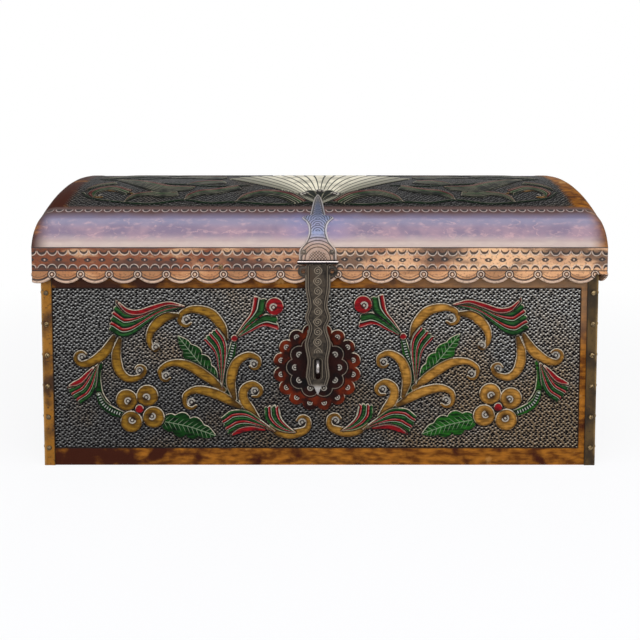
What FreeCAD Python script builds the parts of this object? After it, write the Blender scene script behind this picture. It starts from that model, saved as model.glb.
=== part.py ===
import FreeCAD, Part
import math
import os

# Dome top trunk: tooled leather over a board carcass, a coopered barrel lid and a chased hasp.
# Millimetres. X runs to the right, Y to the back and Z up from the middle of the underside.

# Body of the trunk
body_width = 739.0
body_depth = 391.0
body_height = 260.0
board_thickness = 12.0
bottom_thickness = 12.0
rabbet_depth = 6.0
leather_thickness = 3.0
binding_thickness = 1.5
binding_leg = 15.0

# Lid: straight walls up to the springing line, then a three-centred barrel
lid_side_gap = 6.0
lid_front_gap = 5.0
lid_wall_height = 36.0
lid_rail_thickness = 20.0
lid_end_thickness = 20.0
tenon_length = 10.0
tenon_thickness = 8.0
tenon_height = 20.0
dome_rise = 91.0
shoulder_radius = 52.0
stave_thickness = 10.0
stave_count = 9
end_rounding = 20.0
corner_rounding = 4.0
stave_end_bevel = 9.0

# Scalloped valance round the lid
valance_drop = 12.0
scallop_pitch = 37.6
scallop_radius = 26.0
scallop_phase = -13.7

# Fastener heads are hammered to facets with a 45 degree bevel
head_facets = 6

# Tacks of the bindings and the valance
tack_head_diameter = 6.5
tack_head_height = 2.2
tack_shank_diameter = 2.0
tack_length = 9.0
tack_pitch = 42.0
tack_first_height = 24.0
front_tack_x = -130.0
valance_tack_height = 9.7
valance_tack_pitch = 120.0

# Back hinges
hinge_end_inset = 139.5
hinge_width = 60.0
hinge_leaf_thickness = 2.0
hinge_body_leaf_height = 40.0
hinge_lid_leaf_height = 28.0
hinge_barrel_diameter = 8.0
hinge_pin_diameter = 4.0
hinge_pin_head_diameter = 6.4
hinge_pin_head_length = 1.6
hinge_knuckle_width = 20.0
hinge_seat_gap = 0.3
screw_head_diameter = 7.5
screw_head_height = 2.0
screw_shank_diameter = 3.6
screw_length = 13.0
screw_column_spacing = 40.0
body_screw_drops = (14.0, 30.0)
lid_screw_rise = 17.0

# Clearances shared by both hinges
knuckle_gap = 0.4
running_clearance = 0.06

# Hasp plate, which bends over the front of the dome
hasp_x = -2.5
hasp_pin_rise = 16.5
hasp_pin_diameter = 2.8
hasp_barrel_diameter = 5.5
hasp_barrel_gap = 0.25
hasp_button_diameter = 5.4
hasp_button_length = 2.2
hasp_knuckle_width = 22.0
plate_thickness = 1.5
plate_half_width = 25.0
plate_side_height = 16.5
plate_waist_half_width = 14.5
plate_waist_height = 39.5
plate_ear_half_width = 21.0
plate_ear_height = 57.0
tongue_half_width = 11.0
tongue_height = 85.0
plate_nail_spacing = 36.8
plate_nail_height = 13.2
plate_nail_head_diameter = 7.0
plate_nail_head_height = 1.8
plate_nail_shank_diameter = 2.4
plate_nail_length = 14.0

# Hasp strap: each pair is a drop below the pin and the half width there
strap_thickness = 2.5
strap_neck_top_drop = 9.0
strap_side = ((30.0, 16.7), (58.3, 13.1), (73.0, 17.0), (86.2, 12.1),
              (108.7, 17.3), (131.3, 13.9), (152.5, 15.9))
strap_foot = (163.5, 12.5)
strap_tip_root = (165.0, 5.2)
strap_length = 175.7
strap_ear_spacing = 37.8
strap_ear_drop = 11.7
strap_ear_radius = 5.9
strap_ear_hole_diameter = 6.0
slot_width = 7.5
slot_top_clearance = 2.2
slot_bottom_clearance = 9.3

# Staple on the body, forged from square bar, which the slot of the strap goes over
staple_bar = 4.5
staple_leg_spacing = 12.0
staple_drop = 138.0
staple_reach = 12.75
staple_bend_radius = 3.0
staple_clinch_length = 14.0

# Planes worked out from the sizes above
leather_half_x = body_width / 2
leather_half_y = body_depth / 2
wood_half_x = leather_half_x - leather_thickness
wood_half_y = leather_half_y - leather_thickness
inner_half_x = wood_half_x - board_thickness
inner_half_y = wood_half_y - board_thickness

lid_half_x = leather_half_x + binding_thickness + lid_side_gap
lid_front_y = -(leather_half_y + binding_thickness + lid_front_gap)
lid_back_y = wood_half_y
cover_half_x = lid_half_x + leather_thickness
cover_front_y = lid_front_y - leather_thickness
cover_back_y = lid_back_y + leather_thickness
spring_z = body_height + lid_wall_height

hinge_y = leather_half_y + hinge_seat_gap + hinge_barrel_diameter / 2
hasp_y = cover_front_y - hasp_barrel_gap - hasp_barrel_diameter / 2
hasp_z = body_height + hasp_pin_rise
staple_z = hasp_z - staple_drop

# The three-centred barrel: a point on it is named by the angle of its outward normal
half_span = (cover_back_y - cover_front_y) / 2
dome_middle_y = (cover_back_y + cover_front_y) / 2
crown_radius = ((half_span ** 2 + dome_rise ** 2 - 2 * half_span * shoulder_radius)
                / (2 * (dome_rise - shoulder_radius)))
front_joint = math.atan2(crown_radius - dome_rise, shoulder_radius - half_span)
back_joint = math.pi - front_joint
shoulder_offset = half_span - shoulder_radius


def vector(x, y, z):
    return FreeCAD.Vector(x, y, z)


def box(low, high):
    """A box between two opposite corners."""
    size = [end - start for start, end in zip(low, high)]
    return Part.makeBox(*size, vector(*low))


def rod(start, direction, diameter, length):
    """A round bar from a point along a direction."""
    return Part.makeCylinder(diameter / 2, length, vector(*start), vector(*direction))


def x_rod(centre_x, y, z, diameter, width):
    """A round bar along X, centred on a point."""
    return rod((centre_x - width / 2, y, z), (1, 0, 0), diameter, width)


def solid_of(pieces):
    """Several solids fused to one, without the seams between their faces."""
    return pieces[0].fuse(list(pieces[1:])).removeSplitter()


def facet_ring(radius, z):
    """The corners of a closed ring of facets about Z."""
    turns = [2 * math.pi * number / head_facets for number in range(head_facets + 1)]
    return [vector(radius * math.cos(turn), radius * math.sin(turn), z) for turn in turns]


def facet_prism(radius, height):
    """A bar of facets about Z, from the origin down."""
    return Part.Face(Part.makePolygon(facet_ring(radius, 0))).extrude(vector(0, 0, -height))


def flat_sided(rings):
    """A solid with flat sides between rings of corners, closed by the first and last ring."""
    faces = [Part.Face(Part.makePolygon(ring)) for ring in (rings[0], rings[-1])]
    for low, high in zip(rings, rings[1:]):
        for number in range(head_facets):
            corners = [low[number], low[number + 1], high[number + 1], high[number], low[number]]
            faces.append(Part.Face(Part.makePolygon(corners)))
    return Part.Solid(Part.Shell(faces))


def head(diameter, height):
    """A hammered head over the origin."""
    return flat_sided([facet_ring(diameter / 2, 0), facet_ring(diameter / 2 - height, height)])


def fastener(head_diameter, head_height, shank_diameter, length):
    """A hammered head over a tapered shank, along -Z, seated at the origin."""
    shank = flat_sided([facet_ring(shank_diameter / 4, -length), facet_ring(shank_diameter / 2, 0)])
    return head(head_diameter, head_height).fuse(shank)


def drive(piece, point, direction):
    """A copy of a fastener seated at a point, with its head on the given side."""
    turned = piece.copy()
    turned.Placement = FreeCAD.Placement(
        vector(*point), FreeCAD.Rotation(vector(0, 0, 1), vector(*direction)))
    return turned


def dome_arc(inset, start, end, x):
    """One arc of the barrel between two normal angles, inset from its leather."""
    middle = (start + end) / 2
    if middle > front_joint:
        centre_y, centre_z, radius = dome_middle_y - shoulder_offset, spring_z, shoulder_radius
    elif middle > back_joint:
        centre_y, centre_z, radius = dome_middle_y, spring_z + dome_rise - crown_radius, crown_radius
    else:
        centre_y, centre_z, radius = dome_middle_y + shoulder_offset, spring_z, shoulder_radius
    reach = radius - inset
    points = [vector(x, centre_y + reach * math.cos(angle), centre_z + reach * math.sin(angle))
              for angle in (start, middle, end)]
    return Part.Arc(*points).toShape()


def dome_edges(inset, start, end, x):
    """The arcs of the barrel from one normal angle down to a smaller one."""
    stops = [start] + [joint for joint in (front_joint, back_joint) if end < joint < start] + [end]
    return [dome_arc(inset, first, second, x) for first, second in zip(stops, stops[1:])]


def end_points(edges):
    """The first and last point of a chain of arcs."""
    return edges[0].valueAt(edges[0].FirstParameter), edges[-1].valueAt(edges[-1].LastParameter)


def dome_prism(inset, start_x, end_x):
    """The D-shaped bar under the barrel, above the springing line."""
    edges = dome_edges(inset, math.pi, 0.0, start_x)
    first, last = end_points(edges)
    face = Part.Face(Part.Wire(edges + [Part.makeLine(last, first)]))
    return face.extrude(vector(end_x - start_x, 0, 0))


def end_edges(solid):
    """The arcs at both ends of a bar along X, numbered from one."""
    found = []
    for number, edge in enumerate(solid.Edges, 1):
        if edge.BoundBox.XLength < 1e-6 and edge.Curve.TypeId == "Part::GeomCircle":
            found.append((number, edge))
    return found


def rounded_dome():
    """The outside of the barrel, its end edges rounded more at the crown than at the springing."""
    document = FreeCAD.newDocument("trunk")
    barrel = document.addObject("Part::Feature", "barrel")
    barrel.Shape = dome_prism(0.0, -cover_half_x, cover_half_x)
    rounding = document.addObject("Part::Fillet", "rounding")
    rounding.Base = barrel
    radii = []
    for number, edge in end_edges(barrel.Shape):
        ends = [edge.valueAt(edge.FirstParameter), edge.valueAt(edge.LastParameter)]
        at_spring = [abs(point.z - spring_z) < 1e-6 for point in ends]
        radii.append((number, *[corner_rounding if low else end_rounding for low in at_spring]))
    rounding.Edges = radii
    document.recompute()
    return rounding.Shape.copy()


def bevelled_dome():
    """The outside of the staves, planed to a bevel at both ends under the rounded leather."""
    barrel = dome_prism(leather_thickness, -lid_half_x, lid_half_x)
    return barrel.makeChamfer(stave_end_bevel, [edge for number, edge in end_edges(barrel)])


def stave_angles():
    """The normal angles that share the outside of the barrel among the staves."""
    shoulder = (shoulder_radius - leather_thickness) * (math.pi - front_joint)
    crown = (crown_radius - leather_thickness) * (front_joint - back_joint)
    angles = []
    for number in range(stave_count + 1):
        way = (2 * shoulder + crown) * number / stave_count
        if way <= shoulder:
            angles.append(math.pi - way / (shoulder_radius - leather_thickness))
        elif way <= shoulder + crown:
            angles.append(front_joint - (way - shoulder) / (crown_radius - leather_thickness))
        else:
            left = 2 * shoulder + crown - way
            angles.append(left / (shoulder_radius - leather_thickness))
    return angles


def stave(start, end):
    """One stave, bevelled along both edges square to the barrel."""
    outer = dome_edges(leather_thickness, start, end, -lid_half_x)
    inner = dome_edges(leather_thickness + stave_thickness, start, end, -lid_half_x)
    outer_first, outer_last = end_points(outer)
    inner_first, inner_last = end_points(inner)
    edges = outer + inner + [Part.makeLine(outer_first, inner_first), Part.makeLine(outer_last, inner_last)]
    wire = Part.Wire(Part.sortEdges(edges)[0])
    return Part.Face(wire).extrude(vector(2 * lid_half_x, 0, 0))


def scalloped_band(first_notch, pitch, count, end):
    """A valance in the XZ plane: scallops from the first notch, then plain to its end."""
    low_z = body_height - valance_drop
    notch_z = low_z + scallop_radius - math.sqrt(scallop_radius ** 2 - pitch ** 2 / 4)
    last_notch = first_notch + count * pitch
    arcs = []
    for number in range(count):
        start = first_notch + number * pitch
        arcs.append(Part.Arc(vector(start, 0, notch_z), vector(start + pitch / 2, 0, low_z),
                             vector(start + pitch, 0, notch_z)).toShape())
    corners = [vector(last_notch, 0, notch_z)]
    if end - last_notch > leather_thickness:
        corners += [vector(last_notch, 0, body_height), vector(end, 0, body_height)]
    corners += [vector(end, 0, spring_z), vector(first_notch, 0, spring_z), vector(first_notch, 0, notch_z)]
    lines = [Part.makeLine(*pair) for pair in zip(corners, corners[1:])]
    return Part.Face(Part.Wire(arcs + lines)).extrude(vector(0, leather_thickness, 0))


def valance_envelope():
    """The outside of the lid's straight walls, with its upright corners rounded."""
    walls = box((-cover_half_x, cover_front_y, body_height - valance_drop - leather_thickness),
                (cover_half_x, cover_back_y, spring_z))
    upright = [edge for edge in walls.Edges if edge.BoundBox.ZLength > lid_wall_height / 2]
    return walls.makeFillet(corner_rounding, upright)


def mirrored_outline(chain):
    """A closed face in the XZ plane at the hasp from the edges of its right half."""
    other = [edge.mirror(vector(hasp_x, 0, 0), vector(1, 0, 0)) for edge in chain]
    return Part.Face(Part.Wire(Part.sortEdges(chain + other)[0]))


def hasp_point(half_width, height):
    """A point of the hasp from its half width and its height over the pin."""
    return vector(hasp_x + half_width, 0, hasp_z + height)


def ogee(start, end):
    """Two equal arcs from one upright point of a wavy side to the next."""
    middle = (start + end) / 2
    rise = abs(end.z - start.z) / 2
    reach = abs(end.x - start.x) / 2
    radius = (rise ** 2 + reach ** 2) / (2 * reach)
    sagitta = radius - math.sqrt(radius ** 2 - (rise ** 2 + reach ** 2) / 4)
    chord = (end - start).normalize()
    side = vector(chord.z, 0, -chord.x)
    outward = 1 if side.x * (end.x - start.x) < 0 else -1
    first = (start + middle) / 2 + side * (outward * sagitta)
    second = (middle + end) / 2 - side * (outward * sagitta)
    return [Part.Arc(start, first, middle).toShape(), Part.Arc(middle, second, end).toShape()]


def plate_outline():
    """The hasp plate from the front: a waisted skirt, two ears and a tongue."""
    base = hasp_point(plate_half_width, 0)
    side = hasp_point(plate_half_width, plate_side_height)
    waist = hasp_point(plate_waist_half_width, plate_waist_height)
    ear = hasp_point(plate_ear_half_width, plate_ear_height)
    root = hasp_point(tongue_half_width, plate_ear_height + plate_ear_half_width - tongue_half_width)
    tongue_side = hasp_point(tongue_half_width, tongue_height - tongue_half_width)
    tongue_bulge = hasp_point(tongue_half_width * math.sqrt(0.5),
                              tongue_height - tongue_half_width * (1 - math.sqrt(0.5)))
    tongue_top = hasp_point(0, tongue_height)
    return mirrored_outline([
        Part.makeLine(hasp_point(0, 0), base),
        Part.makeLine(base, side)] + ogee(side, waist) + ogee(waist, ear)[:1] + [
        Part.makeLine((waist + ear) / 2, ear),
        Part.makeLine(ear, root),
        Part.makeLine(root, tongue_side),
        Part.Arc(tongue_side, tongue_bulge, tongue_top).toShape()])


def strap_outline():
    """The strap from the front: a shouldered top, wavy sides, a foot and a pointed tip."""
    knuckle_side = hasp_point(hasp_knuckle_width / 2, 0)
    shoulder = hasp_point(hasp_knuckle_width / 2, -(hasp_barrel_diameter / 2 + 2 * knuckle_gap))
    neck = hasp_point(strap_side[0][1], -strap_neck_top_drop)
    side = [hasp_point(half_width, -drop) for drop, half_width in strap_side]
    waves = [edge for pair in zip(side, side[1:]) for edge in ogee(*pair)]
    foot = hasp_point(strap_foot[1], -strap_foot[0])
    tip_root = hasp_point(strap_tip_root[1], -strap_tip_root[0])
    return mirrored_outline([
        Part.makeLine(hasp_point(0, 0), knuckle_side),
        Part.makeLine(knuckle_side, shoulder),
        Part.makeLine(shoulder, neck),
        Part.makeLine(neck, side[0])] + waves + [
        Part.makeLine(side[-1], foot),
        Part.makeLine(foot, tip_root),
        Part.makeLine(tip_root, hasp_point(0, -strap_length))])


# Body boards, each let into the next by a rabbet
nodes = {}
bottom_board = box((-inner_half_x - rabbet_depth, -inner_half_y - rabbet_depth, 0),
                   (inner_half_x + rabbet_depth, inner_half_y + rabbet_depth, bottom_thickness))
right_end_board = box((inner_half_x, -inner_half_y - rabbet_depth, 0),
                      (wood_half_x, inner_half_y + rabbet_depth, body_height)).cut(bottom_board)
left_end_board = right_end_board.mirror(vector(0, 0, 0), vector(1, 0, 0))
front_blank = box((-wood_half_x, -wood_half_y, 0), (wood_half_x, -inner_half_y, body_height))
front_board = front_blank.cut([left_end_board, right_end_board, bottom_board])
back_board = front_board.mirror(vector(0, 0, 0), vector(0, 1, 0))

# Body leathers: the front and back ones cover the edges of the end ones
front_leather = box((-leather_half_x, -leather_half_y, 0), (leather_half_x, -wood_half_y, body_height))
back_leather = front_leather.mirror(vector(0, 0, 0), vector(0, 1, 0))
right_end_leather = box((wood_half_x, -wood_half_y, 0), (leather_half_x, wood_half_y, body_height))
left_end_leather = right_end_leather.mirror(vector(0, 0, 0), vector(1, 0, 0))

# Corner bindings: an L of leather whose outside corner is rounded
binding_x = leather_half_x + binding_thickness
binding_y = leather_half_y + binding_thickness
rounding_x = binding_thickness * math.sqrt(0.5)
binding_corners = [vector(leather_half_x, leather_half_y + binding_thickness, 0),
                   vector(binding_x - binding_leg, binding_y, 0),
                   vector(binding_x - binding_leg, leather_half_y, 0),
                   vector(leather_half_x, leather_half_y, 0),
                   vector(leather_half_x, binding_y - binding_leg, 0),
                   vector(binding_x, binding_y - binding_leg, 0),
                   vector(binding_x, leather_half_y, 0)]
binding_edges = [Part.makeLine(*pair) for pair in zip(binding_corners, binding_corners[1:])]
binding_edges.append(Part.Arc(vector(binding_x, leather_half_y, 0),
                              vector(leather_half_x + rounding_x, leather_half_y + rounding_x, 0),
                              vector(leather_half_x, binding_y, 0)).toShape())
back_right_binding = Part.Face(Part.Wire(binding_edges)).extrude(vector(0, 0, body_height))
back_left_binding = back_right_binding.mirror(vector(0, 0, 0), vector(1, 0, 0))
front_right_binding = back_right_binding.mirror(vector(0, 0, 0), vector(0, 1, 0))
front_left_binding = back_left_binding.mirror(vector(0, 0, 0), vector(0, 1, 0))

# Tacks up both legs of each binding, below the reach of the valance
tack = fastener(tack_head_diameter, tack_head_height, tack_shank_diameter, tack_length)
tack_room = body_height - valance_drop - tack_head_diameter - tack_first_height
tack_heights = [tack_first_height + tack_pitch * number for number in range(int(tack_room / tack_pitch) + 1)]
corner_tacks = []
for height in tack_heights:
    for side_x in (-1, 1):
        for side_y in (-1, 1):
            on_face = (side_x * (binding_x - binding_leg / 2), side_y * binding_y, height)
            on_end = (side_x * binding_x, side_y * (binding_y - binding_leg / 2), height)
            corner_tacks.append(drive(tack, on_face, (0, side_y, 0)))
            corner_tacks.append(drive(tack, on_end, (side_x, 0, 0)))

# Staple: a square bar bent round at the nose, its two ends clinched flat inside
bar_half = staple_bar / 2
clinch_y = -inner_half_y + bar_half
bend_y = clinch_y - staple_bend_radius
nose_radius = staple_leg_spacing / 2
nose_middle_y = hasp_y - strap_thickness / 2 - staple_reach + bar_half + nose_radius
bar_left = hasp_x - bar_half
bar_right = hasp_x + bar_half


def bar_bend(y, z, radius, start_turn, turn):
    """A bend of the bar about X, from an angle round a centre."""
    tube = Part.makeCylinder(radius + bar_half, staple_bar, vector(bar_left, y, z), vector(1, 0, 0), turn)
    tube = tube.cut(rod((bar_left, y, z), (1, 0, 0), 2 * (radius - bar_half), staple_bar))
    tube.rotate(vector(bar_left, y, z), vector(1, 0, 0), start_turn)
    return tube


def staple_leg(way):
    """One leg through the front, bent over against the inside of the board."""
    leg_z = staple_z + way * nose_radius
    bend_z = leg_z + way * staple_bend_radius
    end_z = leg_z + way * staple_clinch_length
    low_z, high_z = sorted((bend_z, end_z))
    return [box((bar_left, nose_middle_y, leg_z - bar_half), (bar_right, bend_y, leg_z + bar_half)),
            box((bar_left, clinch_y - bar_half, low_z), (bar_right, clinch_y + bar_half, high_z))]


upper_z = staple_z + nose_radius
lower_z = staple_z - nose_radius
hasp_staple = solid_of(
    [bar_bend(nose_middle_y, staple_z, nose_radius, 0, 180),
     bar_bend(bend_y, upper_z + staple_bend_radius, staple_bend_radius, 180, 90),
     bar_bend(bend_y, lower_z - staple_bend_radius, staple_bend_radius, 270, 90)]
    + staple_leg(1) + staple_leg(-1))
front_board = front_board.cut(hasp_staple)
front_leather = front_leather.cut(hasp_staple)

# Lid frame: rails tenoned into D-shaped ends, which carry the staves
rail_half_x = lid_half_x - lid_end_thickness
tenon_half_x = rail_half_x + tenon_length
tenon_z = body_height + (lid_wall_height - tenon_height) / 2
tenon_y = lid_front_y + (lid_rail_thickness - tenon_thickness) / 2
lid_front_rail = solid_of([
    box((-rail_half_x, lid_front_y, body_height), (rail_half_x, lid_front_y + lid_rail_thickness, spring_z)),
    box((-tenon_half_x, tenon_y, tenon_z),
        (tenon_half_x, tenon_y + tenon_thickness, tenon_z + tenon_height))])
lid_back_rail = lid_front_rail.mirror(vector(0, dome_middle_y, 0), vector(0, 1, 0))

leather_dome = rounded_dome()
wood_dome = bevelled_dome()
end_top = dome_prism(leather_thickness + stave_thickness, rail_half_x, lid_half_x).common(wood_dome)
end_base = box((rail_half_x, lid_front_y, body_height), (lid_half_x, lid_back_y, spring_z))
lid_right_end = solid_of([end_base, end_top]).cut([lid_front_rail, lid_back_rail])
lid_left_end = lid_right_end.mirror(vector(0, 0, 0), vector(1, 0, 0))

joints_between_staves = stave_angles()
for number, (start, end) in enumerate(zip(joints_between_staves, joints_between_staves[1:]), 1):
    nodes["lid_stave_%d" % number] = stave(start, end).common(wood_dome)

# Lid leathers: the end panels are the flat ends that the rounding leaves
end_faces = [face for face in leather_dome.Faces
             if face.BoundBox.XLength < 1e-6 and face.BoundBox.ZLength > dome_rise / 2]
end_panels = {}
for face in end_faces:
    side = 1 if face.BoundBox.XMin > 0 else -1
    end_panels[side] = face.extrude(vector(-side * leather_thickness, 0, 0))
lid_dome_leather = leather_dome.cut([wood_dome, end_panels[-1], end_panels[1]])

# Valances: the front one keeps its own phase and stops short of the right corner
envelope = valance_envelope()
left_copies = math.ceil((cover_half_x + scallop_phase) / scallop_pitch)
right_copies = math.floor((cover_half_x - scallop_phase) / scallop_pitch)
front_first = scallop_phase - left_copies * scallop_pitch
valance_front = scalloped_band(front_first, scallop_pitch, left_copies + right_copies, cover_half_x)
valance_front.translate(vector(0, cover_front_y, 0))
valance_front = valance_front.common(envelope)

side_length = lid_back_y - lid_front_y
side_count = round(side_length / scallop_pitch)
valance_right = scalloped_band(lid_front_y, side_length / side_count, side_count, lid_back_y)
valance_right.rotate(vector(0, 0, 0), vector(0, 0, 1), 90)
valance_right.translate(vector(cover_half_x, 0, 0))
valance_right = valance_right.common(envelope)
valance_left = valance_right.mirror(vector(0, 0, 0), vector(1, 0, 0))
back_band = box((-cover_half_x, lid_back_y, body_height), (cover_half_x, cover_back_y, spring_z)).common(envelope)

# Valance tacks: one on the front, a row along each side
tack_z = body_height + valance_tack_height
valance_tacks = [drive(tack, (front_tack_x, cover_front_y, tack_z), (0, -1, 0))]
for side in (-1, 1):
    for row in (-1, 0, 1):
        along = dome_middle_y + row * valance_tack_pitch
        valance_tacks.append(drive(tack, (side * cover_half_x, along, tack_z), (side, 0, 0)))

# Back hinges: the body leaf has the two outer knuckles, the lid leaf the middle one
screw = fastener(screw_head_diameter, screw_head_height, screw_shank_diameter, screw_length)
screw_hole = facet_prism(screw_shank_diameter / 2, hinge_leaf_thickness)
hinge_pin_head = head(hinge_pin_head_diameter, hinge_pin_head_length)
leaf_front_y = leather_half_y
leaf_back_y = leather_half_y + hinge_leaf_thickness
barrel_reach = hinge_barrel_diameter / 2 + knuckle_gap
middle_width = hinge_knuckle_width - knuckle_gap
outer_width = (hinge_width - hinge_knuckle_width - knuckle_gap) / 2
outer_offset = (hinge_width - outer_width) / 2
body_screws = []
lid_screws = []
hinge_reach = body_width / 2 - hinge_end_inset
for name, hinge_x in (("left", -hinge_reach), ("right", hinge_reach)):
    left_x = hinge_x - hinge_width / 2
    right_x = hinge_x + hinge_width / 2
    outer_x = [hinge_x - outer_offset, hinge_x + outer_offset]
    columns = [hinge_x - screw_column_spacing / 2, hinge_x + screw_column_spacing / 2]
    middle_room = x_rod(hinge_x, hinge_y, body_height, 2 * barrel_reach, hinge_knuckle_width + knuckle_gap)
    outer_room = [x_rod(x, hinge_y, body_height, 2 * barrel_reach, outer_width + 2 * knuckle_gap)
                  for x in outer_x]

    body_plate = box((left_x, leaf_front_y, body_height - hinge_body_leaf_height),
                     (right_x, leaf_back_y, body_height))
    middle_notch = box((hinge_x - hinge_knuckle_width / 2 - knuckle_gap / 2, leaf_front_y,
                        body_height - barrel_reach),
                       (hinge_x + hinge_knuckle_width / 2 + knuckle_gap / 2, leaf_back_y, body_height))
    body_knuckles = [x_rod(x, hinge_y, body_height, hinge_barrel_diameter, outer_width) for x in outer_x]
    body_bore = x_rod(hinge_x, hinge_y, body_height, hinge_pin_diameter, hinge_width)
    body_places = [(x, leaf_back_y, body_height - drop) for x in columns for drop in body_screw_drops]
    body_holes = [drive(screw_hole, place, (0, 1, 0)) for place in body_places]
    nodes["hinge_body_leaf_" + name] = solid_of(
        [body_plate.cut([middle_notch, middle_room])] + body_knuckles).cut([body_bore] + body_holes)
    body_screws += [drive(screw, place, (0, 1, 0)) for place in body_places]

    lid_plate = box((left_x, leaf_front_y, body_height),
                    (right_x, leaf_back_y, body_height + hinge_lid_leaf_height))
    outer_notches = [box((x - outer_width / 2 - knuckle_gap, leaf_front_y, body_height),
                         (x + outer_width / 2 + knuckle_gap, leaf_back_y, body_height + barrel_reach))
                     for x in outer_x]
    lid_knuckle = x_rod(hinge_x, hinge_y, body_height, hinge_barrel_diameter, middle_width)
    lid_bore = x_rod(hinge_x, hinge_y, body_height, hinge_pin_diameter + 2 * running_clearance, hinge_width)
    lid_places = [(x, leaf_back_y, body_height + lid_screw_rise) for x in columns]
    lid_holes = [drive(screw_hole, place, (0, 1, 0)) for place in lid_places]
    nodes["hinge_lid_leaf_" + name] = solid_of(
        [lid_plate.cut(outer_notches + outer_room), lid_knuckle]).cut([lid_bore] + lid_holes)
    lid_screws += [drive(screw, place, (0, 1, 0)) for place in lid_places]

    nodes["hinge_pin_" + name] = solid_of([
        body_bore,
        drive(hinge_pin_head, (right_x, hinge_y, body_height), (1, 0, 0)),
        drive(hinge_pin_head, (left_x, hinge_y, body_height), (-1, 0, 0))])

# Hasp plate: a sheet bent over the dome, cut to its outline, with two outer knuckles
sheet_x = hasp_x - plate_half_width
inner_edges = dome_edges(0.0, math.pi, math.pi / 2, sheet_x)
outer_edges = dome_edges(-plate_thickness, math.pi, math.pi / 2, sheet_x)
inner_first, inner_last = end_points(inner_edges)
outer_first, outer_last = end_points(outer_edges)
inner_low = vector(sheet_x, cover_front_y, hasp_z)
outer_low = vector(sheet_x, cover_front_y - plate_thickness, hasp_z)
sheet_edges = inner_edges + outer_edges + [
    Part.makeLine(inner_first, inner_low), Part.makeLine(inner_low, outer_low),
    Part.makeLine(outer_low, outer_first), Part.makeLine(inner_last, outer_last)]
bent_sheet = Part.Face(Part.Wire(Part.sortEdges(sheet_edges)[0])).extrude(vector(2 * plate_half_width, 0, 0))
outline_bar = plate_outline()
outline_bar.translate(vector(0, hasp_y, 0))
cut_sheet = bent_sheet.common(outline_bar.extrude(vector(0, dome_middle_y - hasp_y, 0)))

plate_knuckle_width = plate_half_width - hasp_knuckle_width / 2 - knuckle_gap
plate_knuckle_offset = plate_half_width - plate_knuckle_width / 2
plate_knuckles = [x_rod(hasp_x + side * plate_knuckle_offset, hasp_y, hasp_z, hasp_barrel_diameter,
                        plate_knuckle_width) for side in (-1, 1)]
strap_room = box((hasp_x - hasp_knuckle_width / 2 - knuckle_gap, cover_front_y - plate_thickness, hasp_z),
                 (hasp_x + hasp_knuckle_width / 2 + knuckle_gap, cover_front_y,
                  hasp_z + hasp_barrel_diameter / 2 + knuckle_gap))
plate_nail = fastener(plate_nail_head_diameter, plate_nail_head_height, plate_nail_shank_diameter,
                      plate_nail_length)
nail_places = [(hasp_x + side * plate_nail_spacing / 2, cover_front_y - plate_thickness,
                hasp_z + plate_nail_height) for side in (-1, 1)]
plate_nails = [drive(plate_nail, place, (0, -1, 0)) for place in nail_places]
nail_hole = facet_prism(plate_nail_shank_diameter / 2, plate_thickness)
nail_holes = [drive(nail_hole, place, (0, -1, 0)) for place in nail_places]
pin_bore = x_rod(hasp_x, hasp_y, hasp_z, hasp_pin_diameter, 2 * plate_half_width)
hasp_plate = solid_of([cut_sheet.cut(strap_room)] + plate_knuckles).cut([pin_bore] + nail_holes)

hasp_button = head(hasp_button_diameter, hasp_button_length)
hasp_pin = solid_of([
    pin_bore,
    drive(hasp_button, (hasp_x + plate_half_width, hasp_y, hasp_z), (1, 0, 0)),
    drive(hasp_button, (hasp_x - plate_half_width, hasp_y, hasp_z), (-1, 0, 0))])

# Hasp strap: the outline with its two eared rings, the middle knuckle and the slot
strap_back_y = hasp_y + strap_thickness / 2
strap_blank = strap_outline()
strap_blank.translate(vector(0, strap_back_y, 0))
strap_sheet = strap_blank.extrude(vector(0, -strap_thickness, 0))
ear_centres = [(hasp_x + side * strap_ear_spacing / 2, strap_back_y, hasp_z - strap_ear_drop)
               for side in (-1, 1)]
ears = [rod(centre, (0, -1, 0), 2 * strap_ear_radius, strap_thickness) for centre in ear_centres]
ear_holes = [rod(centre, (0, -1, 0), strap_ear_hole_diameter, strap_thickness) for centre in ear_centres]
slot_top = upper_z + bar_half + slot_top_clearance
slot_bottom = lower_z - bar_half - slot_bottom_clearance
slot_radius = slot_width / 2
slot = solid_of([
    box((hasp_x - slot_radius, hasp_y - strap_thickness, slot_bottom + slot_radius),
        (hasp_x + slot_radius, hasp_y + strap_thickness, slot_top - slot_radius)),
    rod((hasp_x, hasp_y - strap_thickness, slot_bottom + slot_radius), (0, 1, 0), slot_width,
        2 * strap_thickness),
    rod((hasp_x, hasp_y - strap_thickness, slot_top - slot_radius), (0, 1, 0), slot_width,
        2 * strap_thickness)])
strap_knuckle = x_rod(hasp_x, hasp_y, hasp_z, hasp_barrel_diameter, hasp_knuckle_width)
strap_bore = x_rod(hasp_x, hasp_y, hasp_z, hasp_pin_diameter + 2 * running_clearance, hasp_knuckle_width)
hasp_strap = solid_of([strap_sheet, strap_knuckle] + ears).cut(ear_holes + [slot, strap_bore])

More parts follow.
